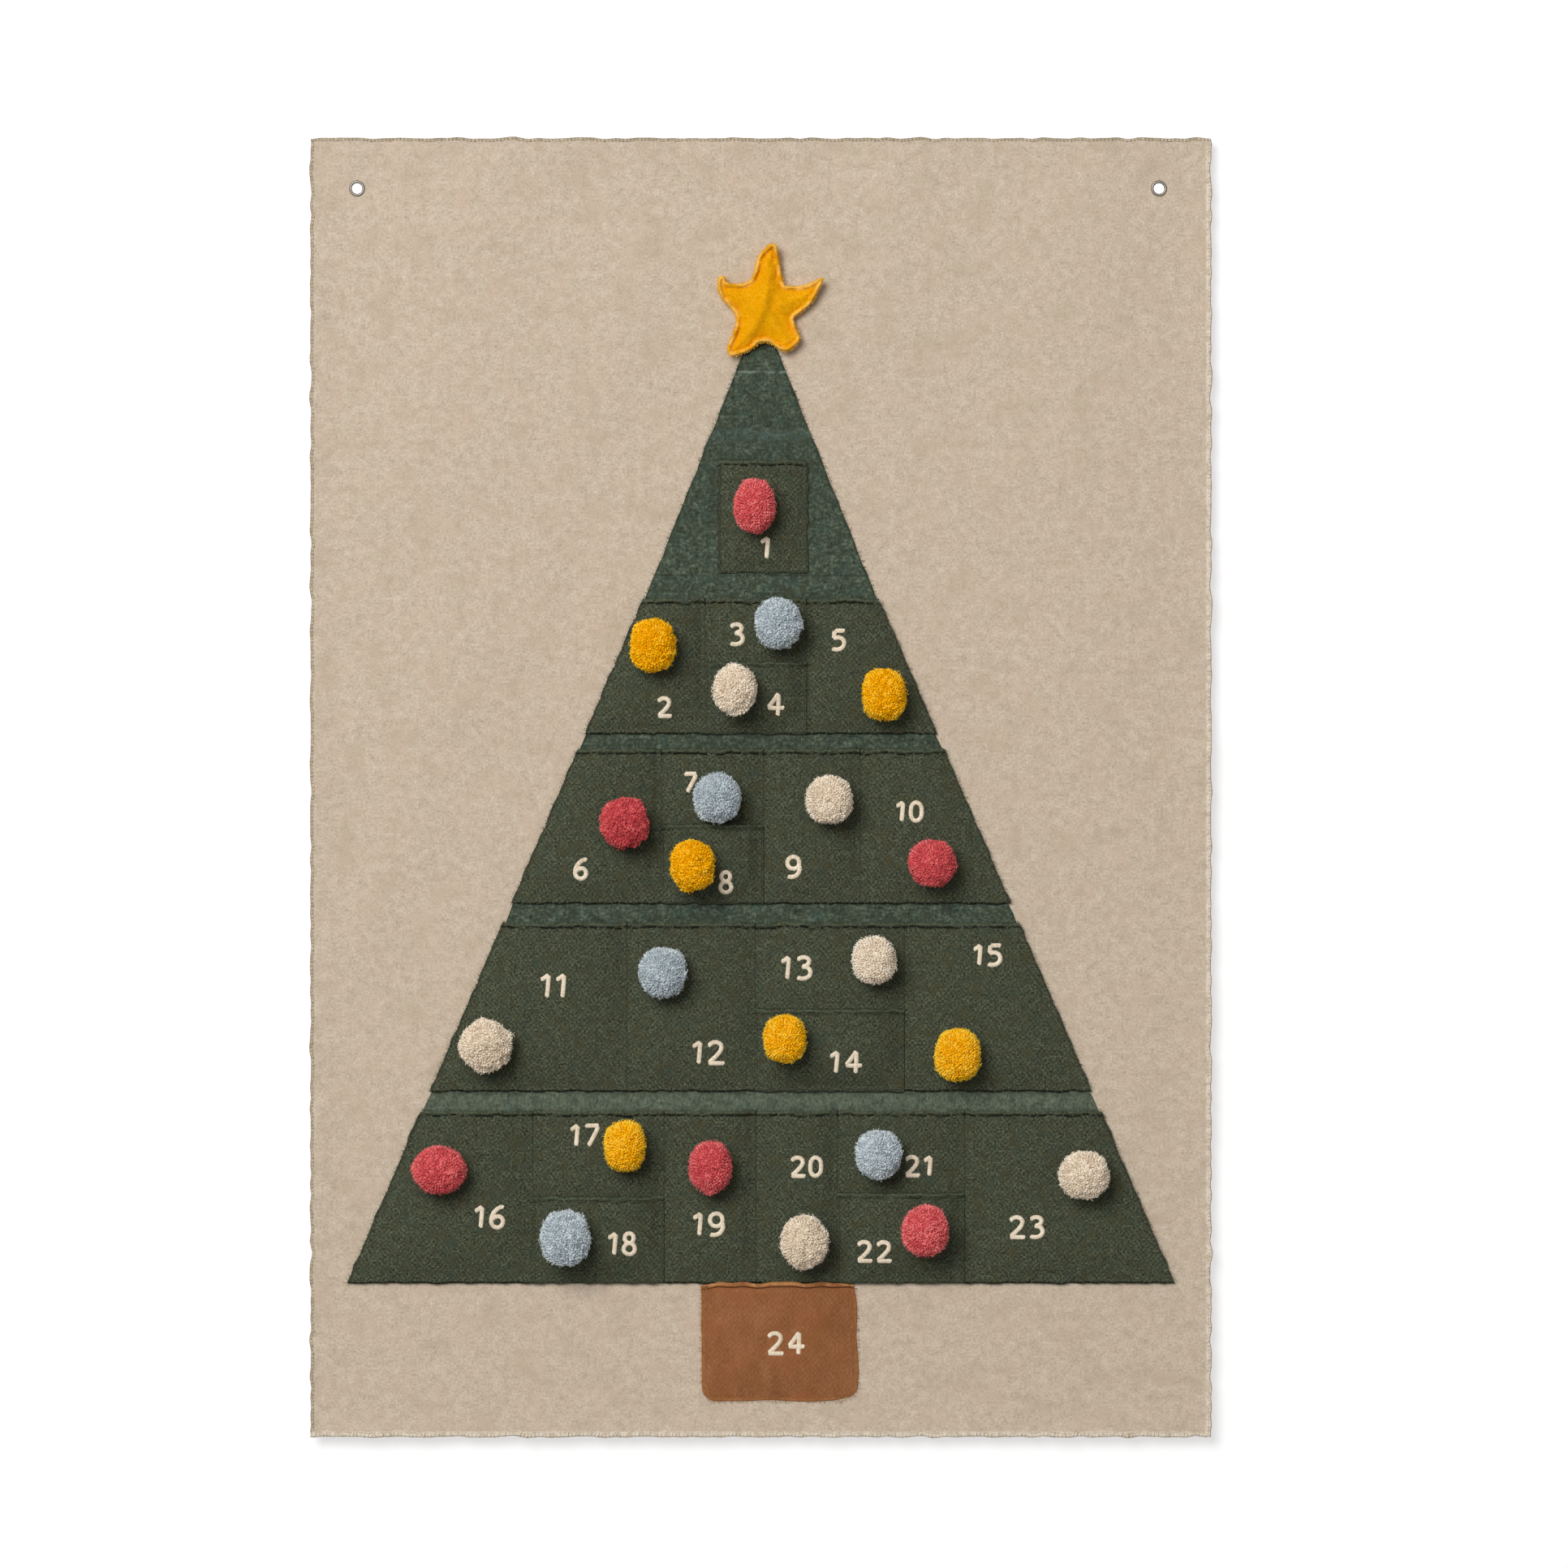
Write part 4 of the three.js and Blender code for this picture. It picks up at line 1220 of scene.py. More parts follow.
@dataclass
class Pocket:
    """A pocket: cloth sewn at its sides and bottom, whose middle stands off what is behind it."""

    day: int
    node: str
    left: Side
    right: Side
    seam: float
    layer: int = 0
    allowance: float = 3.0
    rise: float = 32.0
    slack: float = 6.0
    thickness: float = 1.2
    cell: float = 2.4
    ragged: Wander | None = None
    edges: Wander = Wander(17, 12, 70, 0.8)
    rim: float = 0.6
    raised: float = 0.0
    overlap: float = 0.0
    hidden_left: bool = False
    hidden_right: bool = False

    def __post_init__(self) -> None:
        """Read the cloth's place from the frame and draw its wrinkles."""
        self.low, self.high = box_mm(self.node)
        self.wrinkle = Wander(100 + self.day, 14, 60, 0.45)
        self.mouth_sway = self.ragged or Wander(200 + self.day, 9, 60, 1.0)
        self.flange = self.high[1] - self.thickness
        self.crown = self.flange - (self.layer + 1) * self.slack

    def top(self, x: Points) -> Points:
        """Give how far the mouth is above the frame's."""
        middle, half = (self.low[0] + self.high[0]) / 2, (self.high[0] - self.low[0]) / 2
        return self.raised + self.mouth_sway.along(x) + self.overlap * np.clip(1 - ((x - middle) / half) ** 4, 0, 1)

    def swell(self, x: Points, z: Points) -> Points:
        """Give how far the cloth has swelled: 0 at its seams and 1 in its middle."""
        left = self.left.at(z) + self.allowance
        right = self.right.at(z) - self.allowance
        part = np.clip((x - left) / (right - left), 0, 1)
        climb = np.clip((z - self.seam - self.allowance) / self.rise, 0, 1)
        return (1 - abs(2 * part - 1) ** 3) * (1 - (1 - climb) ** 2)

    def surface(self, x: Points, z: Points) -> Points:
        """Give the depth of the cloth's front at a place."""
        swell = self.swell(x, z)
        below = self.high[2] + self.raised - z
        rolled = np.exp(-((below - 1.0) / 1.1) ** 2) - 0.7 * np.exp(-((below - 2.9) / 0.9) ** 2)
        return (self.flange - (self.layer + 1) * self.slack * swell - self.wrinkle.over(x, z) * swell
                - self.rim * rolled)

    def marks(self, sheet: Sheet) -> dict[str, Points]:
        """Measure each corner of the cloth from its mouth, its sewn edges and its plain seams."""
        x, z = sheet.points[:, 0], sheet.points[:, 2]
        beside = {False: [z - self.low[2]], True: [np.full(len(x), FAR)]}
        beside[self.hidden_left].append(x - self.left.at(z))
        beside[self.hidden_right].append(self.right.at(z) - x)
        return {HEM: np.min(beside[False], 0).clip(0, FAR), SEAM: np.min(beside[True], 0).clip(0, FAR),
                MOUTH: (self.high[2] + self.top(x) - z).clip(0, FAR)}

    def mouth(self, below: float = 0.0) -> Points:
        """Give the line of the cloth's top edge from left to right, or a wavy line on its front below that."""
        left, right = (side.at(self.high[2]) for side in (self.left, self.right))
        x = np.arange(left, right, 1.5)
        z = self.high[2] + self.top(x)
        depth = self.surface(x, z) + self.thickness / 2
        if below:
            z = z - below + Wander(250 + self.day, 12, 40, 0.5).along(x)
            depth = self.surface(x, z)
        return np.stack([x, depth, z], 1)

    def sheet(self) -> Sheet:
        """Lay out the cloth's grid."""
        height = self.high[2] - self.low[2]
        width = float(self.right.at(self.low[2]) - self.left.at(self.low[2]))
        # Close rows near the mouth hold its rolled rim
        body = 1 - 5 / height
        rows = np.concatenate([np.linspace(0, body, max(8, int(height * body / self.cell)), endpoint=False),
                               np.linspace(body, 1, 9)])
        columns = np.linspace(0, 1, max(12, int(width / self.cell)) + 1)
        v, u = np.meshgrid(rows, columns, indexing="ij")
        flat_z = self.low[2] + v * height
        left = self.left.at(flat_z)
        x = left + (self.right.at(flat_z) - left) * u
        # The sewn edges wander a little; a plain seam stays straight against its neighbour
        if not self.hidden_left:
            x += self.edges.along(flat_z) * (1 - u) ** 8
        if not self.hidden_right:
            x += self.edges.along(flat_z + 500) * u ** 8
        z = flat_z + self.top(x) * v ** 8 + self.edges.along(x) * (1 - v) ** 8
        return Sheet(np.stack([x, self.surface(x, z), z], -1), self.thickness)

    def flat_size(self) -> tuple[float, float, float]:
        """Give the width, the height and the area that the cloth was cut to, in metres."""
        heights = np.linspace(self.low[2], self.high[2], 40)
        widths = self.right.at(heights) - self.left.at(heights)
        height = self.high[2] - self.low[2]
        return widths.max() * MM, height * MM, widths.mean() * height * MM * MM

    def blend(self, piece: Piece) -> Piece:
        """Bake the piece's placement into its mesh."""
        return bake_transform(piece)


@dataclass(frozen=True)
class NumberPlace:
    """A number's middle from the middle of its pocket and up from its bottom seam, and its height."""

    across: float
    up: float
    cap: float


class PocketMaker:
    """Makes the pockets' cloth, their frayed mouths, their seams and their numbers."""

    fringe = Strand((0, -0.6, 0.2), (0.1, 0.4, 0.5), (0.4, 1.1, 0.4), (0.5, 1.9, 0.1), 0.26, sides=3, steps=3,
                    turn=38, tilt=18, smallest=0.5, largest=1.5)
    dash = Strand((-2.6, -0.1, 0.0), (-1.2, 0.25, 0.4), (1.2, -0.25, 0.4), (2.6, 0.1, 0.0), 1.35, turn=9, tilt=4,
                  smallest=0.4, largest=1.3)

    def __init__(self, finishes: Finishes, threader: Threader) -> None:
        """Keep the shared tools."""
        self.finishes = finishes
        self.threader = threader

    def cloth(self, pocket: Pocket, name: str, slot: str, opens: bool, behind: str) -> Piece:
        """Make the pocket's cloth.

        Args:
            pocket: the pocket.
            name: the piece's name.
            slot: which cloth it is, the trunk's or the pockets'.
            opens: whether it opens, or stays on the tree.
            behind: the piece that it is sewn on; not used.
        Returns:
            The cloth.
        """
        material = self.finishes.trunk if slot == "trunk_cloth" else self.finishes.pocket
        sheet = pocket.sheet()
        piece = fit(sheet.build(name, material, pocket.marks(sheet)), slot, "" if opens else "root", pocket.node)
        width, height, area = pocket.flat_size()
        return pocket.blend(piece) if opens else piece

    def edge(self, pocket: Pocket, slot: str) -> Piece:
        """Overlock the pocket's mouth and fray it."""
        sew, line, seed = self.threader.sew, pocket.mouth(), 300 + pocket.day
        if slot == "trunk_cloth":
            loops = overlock_stitch(1.5, pocket.thickness, 0.4)
            parts = [sew("loops", [line], loops, 1.5, self.finishes.tan_thread, seed)]
        else:
            step, thread = (8.0, self.finishes.seam_thread) if pocket.layer else (6.6, self.finishes.green_thread)
            parts = [sew("dashes", [pocket.mouth(2.7)], self.dash, step, thread, seed),
                     sew("fringe", [line], self.fringe, 0.7, self.finishes.fray, seed + 100)]
        return pocket.blend(fit(join(f"pocket_{pocket.day:02d}_mouth_edge", parts), slot, ""))

    def number(self, pocket: Pocket, place: NumberPlace) -> Piece:
        """Embroider the pocket's number.

        Args:
            pocket: the pocket.
            place: the number's place on it and its height.
        Returns:
            The number's threads.
        """
        z = pocket.seam + place.up
        middle = float(pocket.left.at(z) + pocket.right.at(z)) / 2 + place.across
        strokes, loops = Numeral(place.cap).strokes(str(pocket.day), middle, z)
        half = Numeral.stroke / 2
        satin = Strand((-0.25, -half, -0.1), (-0.1, -half * 0.6, 0.75), (0.1, half * 0.6, 0.75), (0.25, half, -0.1),
                       0.58, sides=4, steps=5, turn=5, smallest=0.96, largest=1.05)
        parts = [self.threader.sew("strokes", lines, satin, 0.46, self.finishes.satin, 500 + pocket.day, closed,
                                   round_ends=half * 0.8)
                 for lines, closed in ((strokes, False), (loops, True)) if lines]
        piece = join(f"number_{pocket.day:02d}", parts)
        lay_on(piece, pocket.surface)
        return pocket.blend(piece)


@dataclass(frozen=True)
class Numeral:
    """Numbers in rounded strokes. Points are in cap heights, along the middle of each stroke."""

    cap: float
    stroke = 2.9
    gap = 0.05
    gap_after = {"1": 0.13, "2": 0.0}

    shapes = {
        "0": ([], [[(0.54, 0.5), (0.5, 0.78), (0.3, 0.92), (0.1, 0.79), (0.05, 0.5), (0.09, 0.22), (0.28, 0.08),
                    (0.49, 0.22)]]),
        "1": ([[(0.02, 0.74), (0.17, 0.82), (0.31, 0.93)], [(0.32, 0.92), (0.29, 0.5), (0.25, 0.07)]], []),
        "2": ([[(0.05, 0.76), (0.18, 0.89), (0.39, 0.91), (0.55, 0.79), (0.52, 0.58), (0.31, 0.33), (0.06, 0.1)],
               [(0.05, 0.08), (0.36, 0.08), (0.68, 0.08)]], []),
        "3": ([[(0.06, 0.82), (0.24, 0.92), (0.45, 0.89), (0.53, 0.75), (0.43, 0.61), (0.24, 0.55)],
               [(0.24, 0.55), (0.47, 0.51), (0.58, 0.33), (0.49, 0.15), (0.27, 0.08), (0.05, 0.12)]], []),
        "4": ([[(0.48, 0.95), (0.28, 0.66), (0.06, 0.38)], [(0.06, 0.37), (0.4, 0.36), (0.72, 0.37)],
               [(0.49, 0.94), (0.48, 0.5), (0.45, 0.05)]], []),
        "5": ([[(0.6, 0.92), (0.38, 0.92), (0.14, 0.92)], [(0.14, 0.92), (0.12, 0.75), (0.09, 0.57)],
               [(0.09, 0.57), (0.31, 0.62), (0.51, 0.53), (0.57, 0.33), (0.46, 0.14), (0.24, 0.07), (0.02, 0.1)]], []),
        "6": ([[(0.6, 0.91), (0.41, 0.88), (0.2, 0.7), (0.08, 0.42), (0.13, 0.17), (0.32, 0.07), (0.5, 0.15),
                (0.56, 0.33), (0.47, 0.5), (0.28, 0.52), (0.11, 0.4)]], []),
        "7": ([[(0.03, 0.91), (0.32, 0.92), (0.6, 0.92)], [(0.6, 0.9), (0.42, 0.53), (0.17, 0.07)]], []),
        "8": ([], [[(0.45, 0.74), (0.4, 0.88), (0.26, 0.93), (0.13, 0.87), (0.08, 0.73), (0.14, 0.6), (0.27, 0.53),
                    (0.4, 0.6)],
                   [(0.5, 0.3), (0.43, 0.46), (0.27, 0.53), (0.11, 0.45), (0.04, 0.29), (0.11, 0.13), (0.28, 0.07),
                    (0.44, 0.14)]]),
        "9": ([[(0.56, 0.58), (0.6, 0.4), (0.5, 0.18), (0.31, 0.08), (0.09, 0.09)]],
              [[(0.58, 0.66), (0.52, 0.85), (0.34, 0.93), (0.15, 0.85), (0.08, 0.66), (0.16, 0.48), (0.34, 0.42),
                (0.51, 0.49)]]),
    }

    def strokes(self, text: str, x: float, z: float) -> tuple[list, list]:
        """Set the digits side by side about a middle.

        Args:
            text: the digits.
            x: the number's middle across.
            z: its middle up.
        Returns:
            The open strokes and the closed loops, in millimetres.
        """
        widths = [max(p[0] for stroke in sum(self.shapes[d], []) for p in stroke) for d in text]
        pen = self.stroke / self.cap
        gaps = [self.gap_after.get(d, self.gap) + pen for d in text[:-1]] + [0.0]
        start = -(sum(widths) + sum(gaps)) / 2
        kinds = ([], [])
        for digit, width, gap in zip(text, widths, gaps):
            for kind, made, closed in zip(self.shapes[digit], kinds, (False, True)):
                for stroke in kind:
                    placed = [(x + (start + px) * self.cap, 0.0, z + (py - 0.5) * self.cap) for px, py in stroke]
                    made.append(smooth_path(placed, closed))
            start += width + gap
        return kinds


# Each day's number, from 1
NUMBERS = [NumberPlace(*place) for place in (
    (0.9, 19.2, 18.6), (10.9, 20.5, 16.6), (-15.3, 77.1, 18.5), (15.4, 22.4, 19.1), (-10.4, 72.7, 17.2),
    (-10.4, 26.9, 17.8), (-17.3, 93.9, 16.6), (10.2, 16.5, 18.5), (-14.8, 28.5, 18.5), (-5.1, 71.5, 17.2),
    (1.1, 81.9, 20.4), (13.7, 30.1, 19.7), (-26.4, 96.0, 19.7), (12.6, 22.8, 19.1), (14.4, 106.0, 17.8),
    (27.4, 51.5, 19.1), (-10.7, 114.9, 18.5), (18.2, 31.0, 19.1), (-1.4, 45.9, 19.7), (7.2, 90.6, 17.2),
    (13.0, 91.1, 17.2), (-20.8, 25.0, 17.8), (-24.7, 43.6, 18.5), (5.1, 44.7, 18.8),
)]

# The days in each row of pockets, from the foot of the tree up, and the pockets sewn over others
ROWS = ((16, 17, 19, 20, 21, 23), (11, 12, 13, 15), (6, 7, 9, 10), (2, 3, 5))
LOWER = {3: 4, 7: 8, 13: 14, 17: 18, 21: 22}
TOP_DAY = 1
TRUNK_DAY = 24


class TreePockets:
    """All the pockets, in the places that the frame gives."""

    def __init__(self, tree: Tree) -> None:
        """Place every pocket."""
        self.tree = tree
        self.pockets: dict[int, Pocket] = {}
        self.fixed: dict[int, Pocket] = {}
        for row in ROWS:
            for day in row:
                self._place(day, day == row[0], day == row[-1])
        self._place(TOP_DAY, True, True)
        node = f"pocket_{TRUNK_DAY:02d}_front"
        low, high = box_mm(node)
        left = Side(low[0], low[2], corner=14.0, inward=9.0)
        right = Side(high[0], low[2], corner=9.5, inward=-17.0, mouth=high[2], pinch=-3.0)
        self.pockets[TRUNK_DAY] = Pocket(TRUNK_DAY, node, left, right, low[2], ragged=Wander(224, 18, 60, 1.1),
                                         edges=Wander(24, 30, 80, 0.7), rim=0.8, overlap=1.4)

    def _place(self, day: int, free_left: bool, free_right: bool) -> None:
        """Place one pocket, and the lower one that it carries.

        Args:
            day: the pocket's number.
            free_left: whether its left side is an outer edge, not a seam beside another pocket.
            free_right: the same for its right side.
        """
        node = f"pocket_{day:02d}_front"
        lower = f"pocket_{day:02d}_lower_front"
        low, high = box_mm(lower if day in LOWER else node)
        lean = 0.0 if day == TOP_DAY else self.tree.lean
        left = Side(low[0], low[2], lean=lean if free_left else 0.0)
        right = Side(high[0], low[2], lean=-lean if free_right else 0.0)
        hidden = {"hidden_left": not free_left, "hidden_right": not free_right}
        # The foot row's cloth reaches a little higher than its frame
        raised = 3.0 if day in ROWS[0] else 0.0
        self.pockets[day] = Pocket(day, node, left, right, low[2], raised=raised, **hidden)
        if day in LOWER:
            self.fixed[day] = Pocket(day, lower, left, right, low[2], ragged=Wander(0, 1, 2, 0.0), rim=0.0, **hidden)
            over = LOWER[day]
            self.pockets[over] = Pocket(over, f"pocket_{over:02d}_front", left, right, low[2], layer=1, **hidden)

    def bare_strips(self) -> list[tuple[float, float]]:
        """Give the stretches of bare tree above each row, and above the top pocket's own row."""
        strips = []
        for row, above in zip(ROWS, [*ROWS[1:], None]):
            top = self.pockets[row[0]].high[2] + self.pockets[row[0]].raised
            end = self.pockets[above[0]].seam if above else self.tree.high[2] - 9
            strips.append((top, end))
        return strips

    def build(self, maker: PocketMaker) -> None:
        """Make every pocket's cloth, mouth and number, and then the seams."""
        for day, pocket in self.fixed.items():
            maker.cloth(pocket, f"pocket_{day:02d}_lower_cloth", "pocket_cloth", False, "tree_cloth")
        behind = {over: f"pocket_{day:02d}_lower_cloth" for day, over in LOWER.items()}
        behind[TRUNK_DAY] = "backing_cloth"
        for day, pocket in sorted(self.pockets.items()):
            slot = "trunk_cloth" if day == TRUNK_DAY else "pocket_cloth"
            maker.cloth(pocket, f"pocket_{day:02d}_cloth", slot, True, behind.get(day, "tree_cloth"))
            maker.edge(pocket, slot)
            maker.number(pocket, NUMBERS[day - 1])
            log.info("pocket: %d", day)
        self._seams(maker)

    def _seams(self, maker: PocketMaker) -> None:
        """Sew the pockets down: whipped leaning edges, and running stitches at sides and bottoms."""
        whipped, run, fine, tacks = [], [], [], []
        for row in ROWS:
            first, last = self.pockets[row[0]], self.pockets[row[-1]]
            heights = np.arange(first.seam, first.high[2] + first.raised + 2, 3.0)
            depth = first.flange + first.thickness / 2
            whipped += [[(float(side.at(z)), depth, float(z)) for z in walk]
                        for side, walk in ((first.left, heights), (last.right, heights[::-1]))]
            across = np.arange(first.left.at(first.seam), last.right.at(first.seam), 4.0)
            foot = first.seam + 0.4 + first.edges.along(across)
            run.append([(float(x), first.flange, float(z)) for x, z in zip(across, foot)])
            for day in row[1:]:
                pocket = self.pockets[day]
                x = pocket.left.at_foot - 0.2
                top = pocket.high[2] + pocket.raised
                fine.append([(x, pocket.flange, pocket.seam + 1), (x, pocket.flange, top - 1)])
                tacks.append([(x, pocket.flange, top - 4.5), (x, pocket.flange, top + 0.8)])
        for day in (*LOWER.values(), TOP_DAY):
            fine += self._three_sides(self.pockets[day])
        use = maker.finishes
        bag = self.pockets[TRUNK_DAY]
        # The walk is turned round, so that the outer side is on its left
        outer = [line[::-1] for line in self._three_sides(bag, 0.2)]
        for name, slot, rows in (
                ("tree_seam_stitches", "pocket_cloth", (
                    (whipped, overlock_stitch(1.5, 1.2, 0.8), 4.4, use.seam_thread, 61),
                    (whipped, PocketMaker.fringe, 1.4, use.fray, 66),
                    (run, running_stitch(4.6, 1.0), 5.8, use.green_thread, 62),
                    (fine, running_stitch(2.6, 0.5), 2.8, use.seam_thread, 63),
                    (tacks, running_stitch(1.6, 0.9), 1.2, use.green_thread, 65))),
                ("trunk_seam_stitches", "trunk_cloth", (
                    (self._three_sides(bag, 3.2), running_stitch(2.6, 0.45), 3.0, use.tan_thread, 64),
                    (outer, PocketMaker.fringe, 1.1, use.tan_thread, 67)))):
            fit(join(name, [maker.threader.sew("row", *row) for row in rows]), slot, "root")
            log.info("seams: %s", name)

    @staticmethod
    def _three_sides(pocket: Pocket, inset: float = 1.3) -> list[Path]:
        """Draw the sewn line down one side of a pocket, along its bottom and up the other side."""
        heights = np.linspace(pocket.high[2] - 1, pocket.seam + inset, 40)
        return [[(float(side.at(z)) + shift, pocket.flange, float(z))
                 for side, shift, walk in ((pocket.left, inset, heights), (pocket.right, -inset, heights[::-1]))
                 for z in walk]]


# Pompoms


@dataclass(frozen=True)
class BallShape:
    """How a pompom differs from an even ball: squarer or rounder, with peaks at some bearings."""

    yarn: Yarn
    square: float = 2.1
    peaks: tuple[tuple[float, float], ...] = ()
    clumps: float = 0.8
    tone: float = 0.0


BALLS = {
    1: BallShape(Yarn.RED, 2.3, ((62, 1.2), (110, 1.2), (268, 1.0)), 0.5, 0.05),
    2: BallShape(Yarn.YELLOW, 2.2, ((42, 1.8), (118, 1.2), (205, 0.8)), 1.2, -0.06),
    3: BallShape(Yarn.BLUE, 2.1, ((100, 0.9), (160, 1.0)), 1.1),
    4: BallShape(Yarn.WHITE, 2.0, ((98, 1.2), (262, 1.0), (200, 1.2)), 1.0),
    5: BallShape(Yarn.YELLOW, 2.5, clumps=0.9),
    6: BallShape(Yarn.RED, 2.1, ((250, 0.8), (330, 0.6)), 1.5, -0.12),
    7: BallShape(Yarn.BLUE, 2.1, ((228, 1.3), (320, 0.8), (275, 0.6)), 1.2),
    8: BallShape(Yarn.YELLOW, 2.2, ((252, 2.8), (320, 1.4), (130, 0.8)), 1.2, -0.04),
    9: BallShape(Yarn.WHITE, 2.1, ((340, 0.8),), 0.9),
    10: BallShape(Yarn.RED, 2.1, clumps=1.0, tone=-0.03),
    11: BallShape(Yarn.WHITE, 2.0, ((98, 1.6), (22, 1.8), (255, 0.8)), 1.3, -0.08),
    12: BallShape(Yarn.BLUE, 2.1, ((30, 1.0),), 1.2),
    13: BallShape(Yarn.WHITE, 2.2, ((130, 0.8),), 0.6, 0.06),
    14: BallShape(Yarn.YELLOW, 2.4, clumps=0.6, tone=0.06),
    15: BallShape(Yarn.YELLOW, 2.5, ((200, 0.6),), 0.5, 0.08),
    16: BallShape(Yarn.RED, 2.0, ((175, 1.0), (5, 1.0)), 0.6, 0.02),
    17: BallShape(Yarn.YELLOW, 2.5, clumps=0.6, tone=0.08),
    18: BallShape(Yarn.BLUE, 2.1, ((50, 1.6), (120, 1.0), (255, 1.0)), 1.2, 0.06),
    19: BallShape(Yarn.RED, 2.2, ((268, 2.4),), 0.5),
    20: BallShape(Yarn.WHITE, 2.1, ((262, 1.4), (60, 0.8)), 1.2, -0.05),
    21: BallShape(Yarn.BLUE, 2.0, clumps=0.7, tone=0.08),
    22: BallShape(Yarn.RED, 2.1, ((85, 0.8),), 0.6, 0.1),
    23: BallShape(Yarn.WHITE, 2.1, ((38, 1.2), (290, 0.8)), 0.8),
}


@dataclass
class Pompom:
    """A ball of cut yarn on a round of hook tape, which holds on the brushed cloth."""

    day: int
    shape: BallShape
    tape: float = 14.0
    tape_thickness: float = 1.5
    tuft: tuple[float, float, float] = (2.3, 2.3, 3.0)
    tuft_spacing: float = 1.55
    trim: tuple[float, float, float] = (1.9, 1.2, 2.5)
    stray_spacing: float = 2.3
    # How much paler the yarn is towards the ball's outline seen from the front: a painted sheen
    fluff: float = 0.16
    # How wide a peak is round the ball and from front to back, in degrees
    peak_width: float = 13.0
    peak_length: float = 26.0
    rings: int = 24
    sides: int = 44

    def __post_init__(self) -> None:
        """Read the ball's place from the frame."""
        self.name = f"pompom_{self.day:02d}"
        self.low, self.high = box_mm(self.name)

    def build(self, finishes: Finishes, threader: Threader) -> Piece:
        """Make the ball and its tape as one piece."""
        yarn = finishes.yarns[self.shape.yarn]
        stray = Strand((0, 0, 0.6), (0.5, 0.1, 1.5), (1.2, 0.3, 1.9), (2.3, 0.6, 1.7), 0.5, sides=3, steps=3,
                       turn=180, tilt=24, smallest=0.7, largest=1.15)
        values = {"Spacing": self.tuft_spacing * MM, "Tuft": [v * MM for v in self.tuft],
                  "Stray Spacing": self.stray_spacing * MM, **stray.values(yarn, 700 + self.day)}
        ball = threader.balls.run(self.name + "_ball", self._core(yarn), values)
        self._tint(ball)
        log.info("%s: %d faces", self.name, len(ball.data.polygons))
        whole = join(self.name + "_yarn", [ball, self._tape(finishes.tape)])
        return fit(whole, self.shape.yarn.value, self.name, self.name)

    def _tint(self, ball: Piece) -> None:
        """Give the ball's own tone to its yarn, and a painted sheen: a paler tone towards its outline as seen from the
        front.
        """
        count = len(ball.data.vertices)
        tones = np.zeros(count, np.float32)
        ball.data.attributes[TONE].data.foreach_get("value", tones)
        places = np.zeros(count * 3, np.float32)
        ball.data.vertices.foreach_get("co", places)
        x, _, z = places.reshape(-1, 3).T / MM
        middle, half = (self.low + self.high) / 2, (self.high - self.low) / 2
        girth = np.hypot((x - middle[0]) / half[0], (z - middle[2]) / half[2])
        # Painted sheen: the yarn is paler towards the outline seen from the front
        tones += self.shape.tone + self.fluff * (1 - fade(girth - 0.8, 0.2))
        ball.data.attributes[TONE].data.foreach_set("value", tones)

    def _core(self, yarn: Material) -> Piece:
        """Make the lumpy core that the yarn ends stand on."""
        # The core stays inside the ball's outline, so that the yarn ends reach it
        half = (self.high - self.low) / 2 - self.trim
        middle = (self.high + self.low) / 2 + np.array([0, 0, 0.4])
        front = self.low[1] + self.trim[1]
        back = self.high[1] - self.tape_thickness - 1.0
        half[1] = (back - front) / 2
        middle[1] = (back + front) / 2
        lumps = Wander(800 + self.day, 12, 34, 0.75)
        clumps = Wander(850 + self.day, 6, 10, self.shape.clumps)
        # Rings run from the back of the ball to its front
        turn = np.linspace(-math.pi / 2, math.pi / 2, self.rings)
        around = np.linspace(0, 2 * math.pi, self.sides, endpoint=False)
        a, b = np.meshgrid(turn, around, indexing="ij")
        across, up = (np.sign(part) * abs(part) ** (2 / self.shape.square) for part in (np.cos(b), np.sin(b)))
        girth = abs(np.cos(a)) ** 0.9
        grown = 1 + (lumps.over(np.cos(b) * 17 + 90, np.sin(b) * 17 + a * 19)
                     + clumps.over(np.cos(b) * 18 + a * 13, np.sin(b) * 18 - a * 13)) / 18
        extra = np.zeros_like(a)
        for bearing, height in self.shape.peaks:
            off = (np.degrees(b) - bearing + 180) % 360 - 180
            extra += height * np.exp(-(off / self.peak_width) ** 2 - (np.degrees(a) / self.peak_length) ** 2)
        x = middle[0] + across * girth * half[0] * grown + extra * np.cos(b)
        z = middle[2] + up * girth * half[2] * grown + extra * np.sin(b)
        y = middle[1] - np.sin(a) * half[1] * grown
        points = np.stack([x, y, z], -1).reshape(-1, 3)
        return face_outwards(make_piece(self.name + "_core", points, tube_faces(self.rings, self.sides), yarn))

    def _tape(self, material: Material) -> Piece:
        """Make the round of hook tape behind the ball."""
        middle = (self.low + self.high) / 2
        back, radius = self.high[1], self.tape / 2
        hidden = back - self.tape_thickness - 2.5
        around = np.linspace(0, 2 * math.pi, 36, endpoint=False)
        section = [(0.0, back), (radius - 0.2, back), (radius, back - 0.3), (radius, hidden), (0.0, hidden)]
        points = [(middle[0] + r * math.cos(t), y, middle[2] + r * math.sin(t)) for r, y in section for t in around]
        faces = tube_faces(len(section), len(around))
        return face_outwards(make_piece(self.name + "_tape", np.array(points), faces, material))


# The star


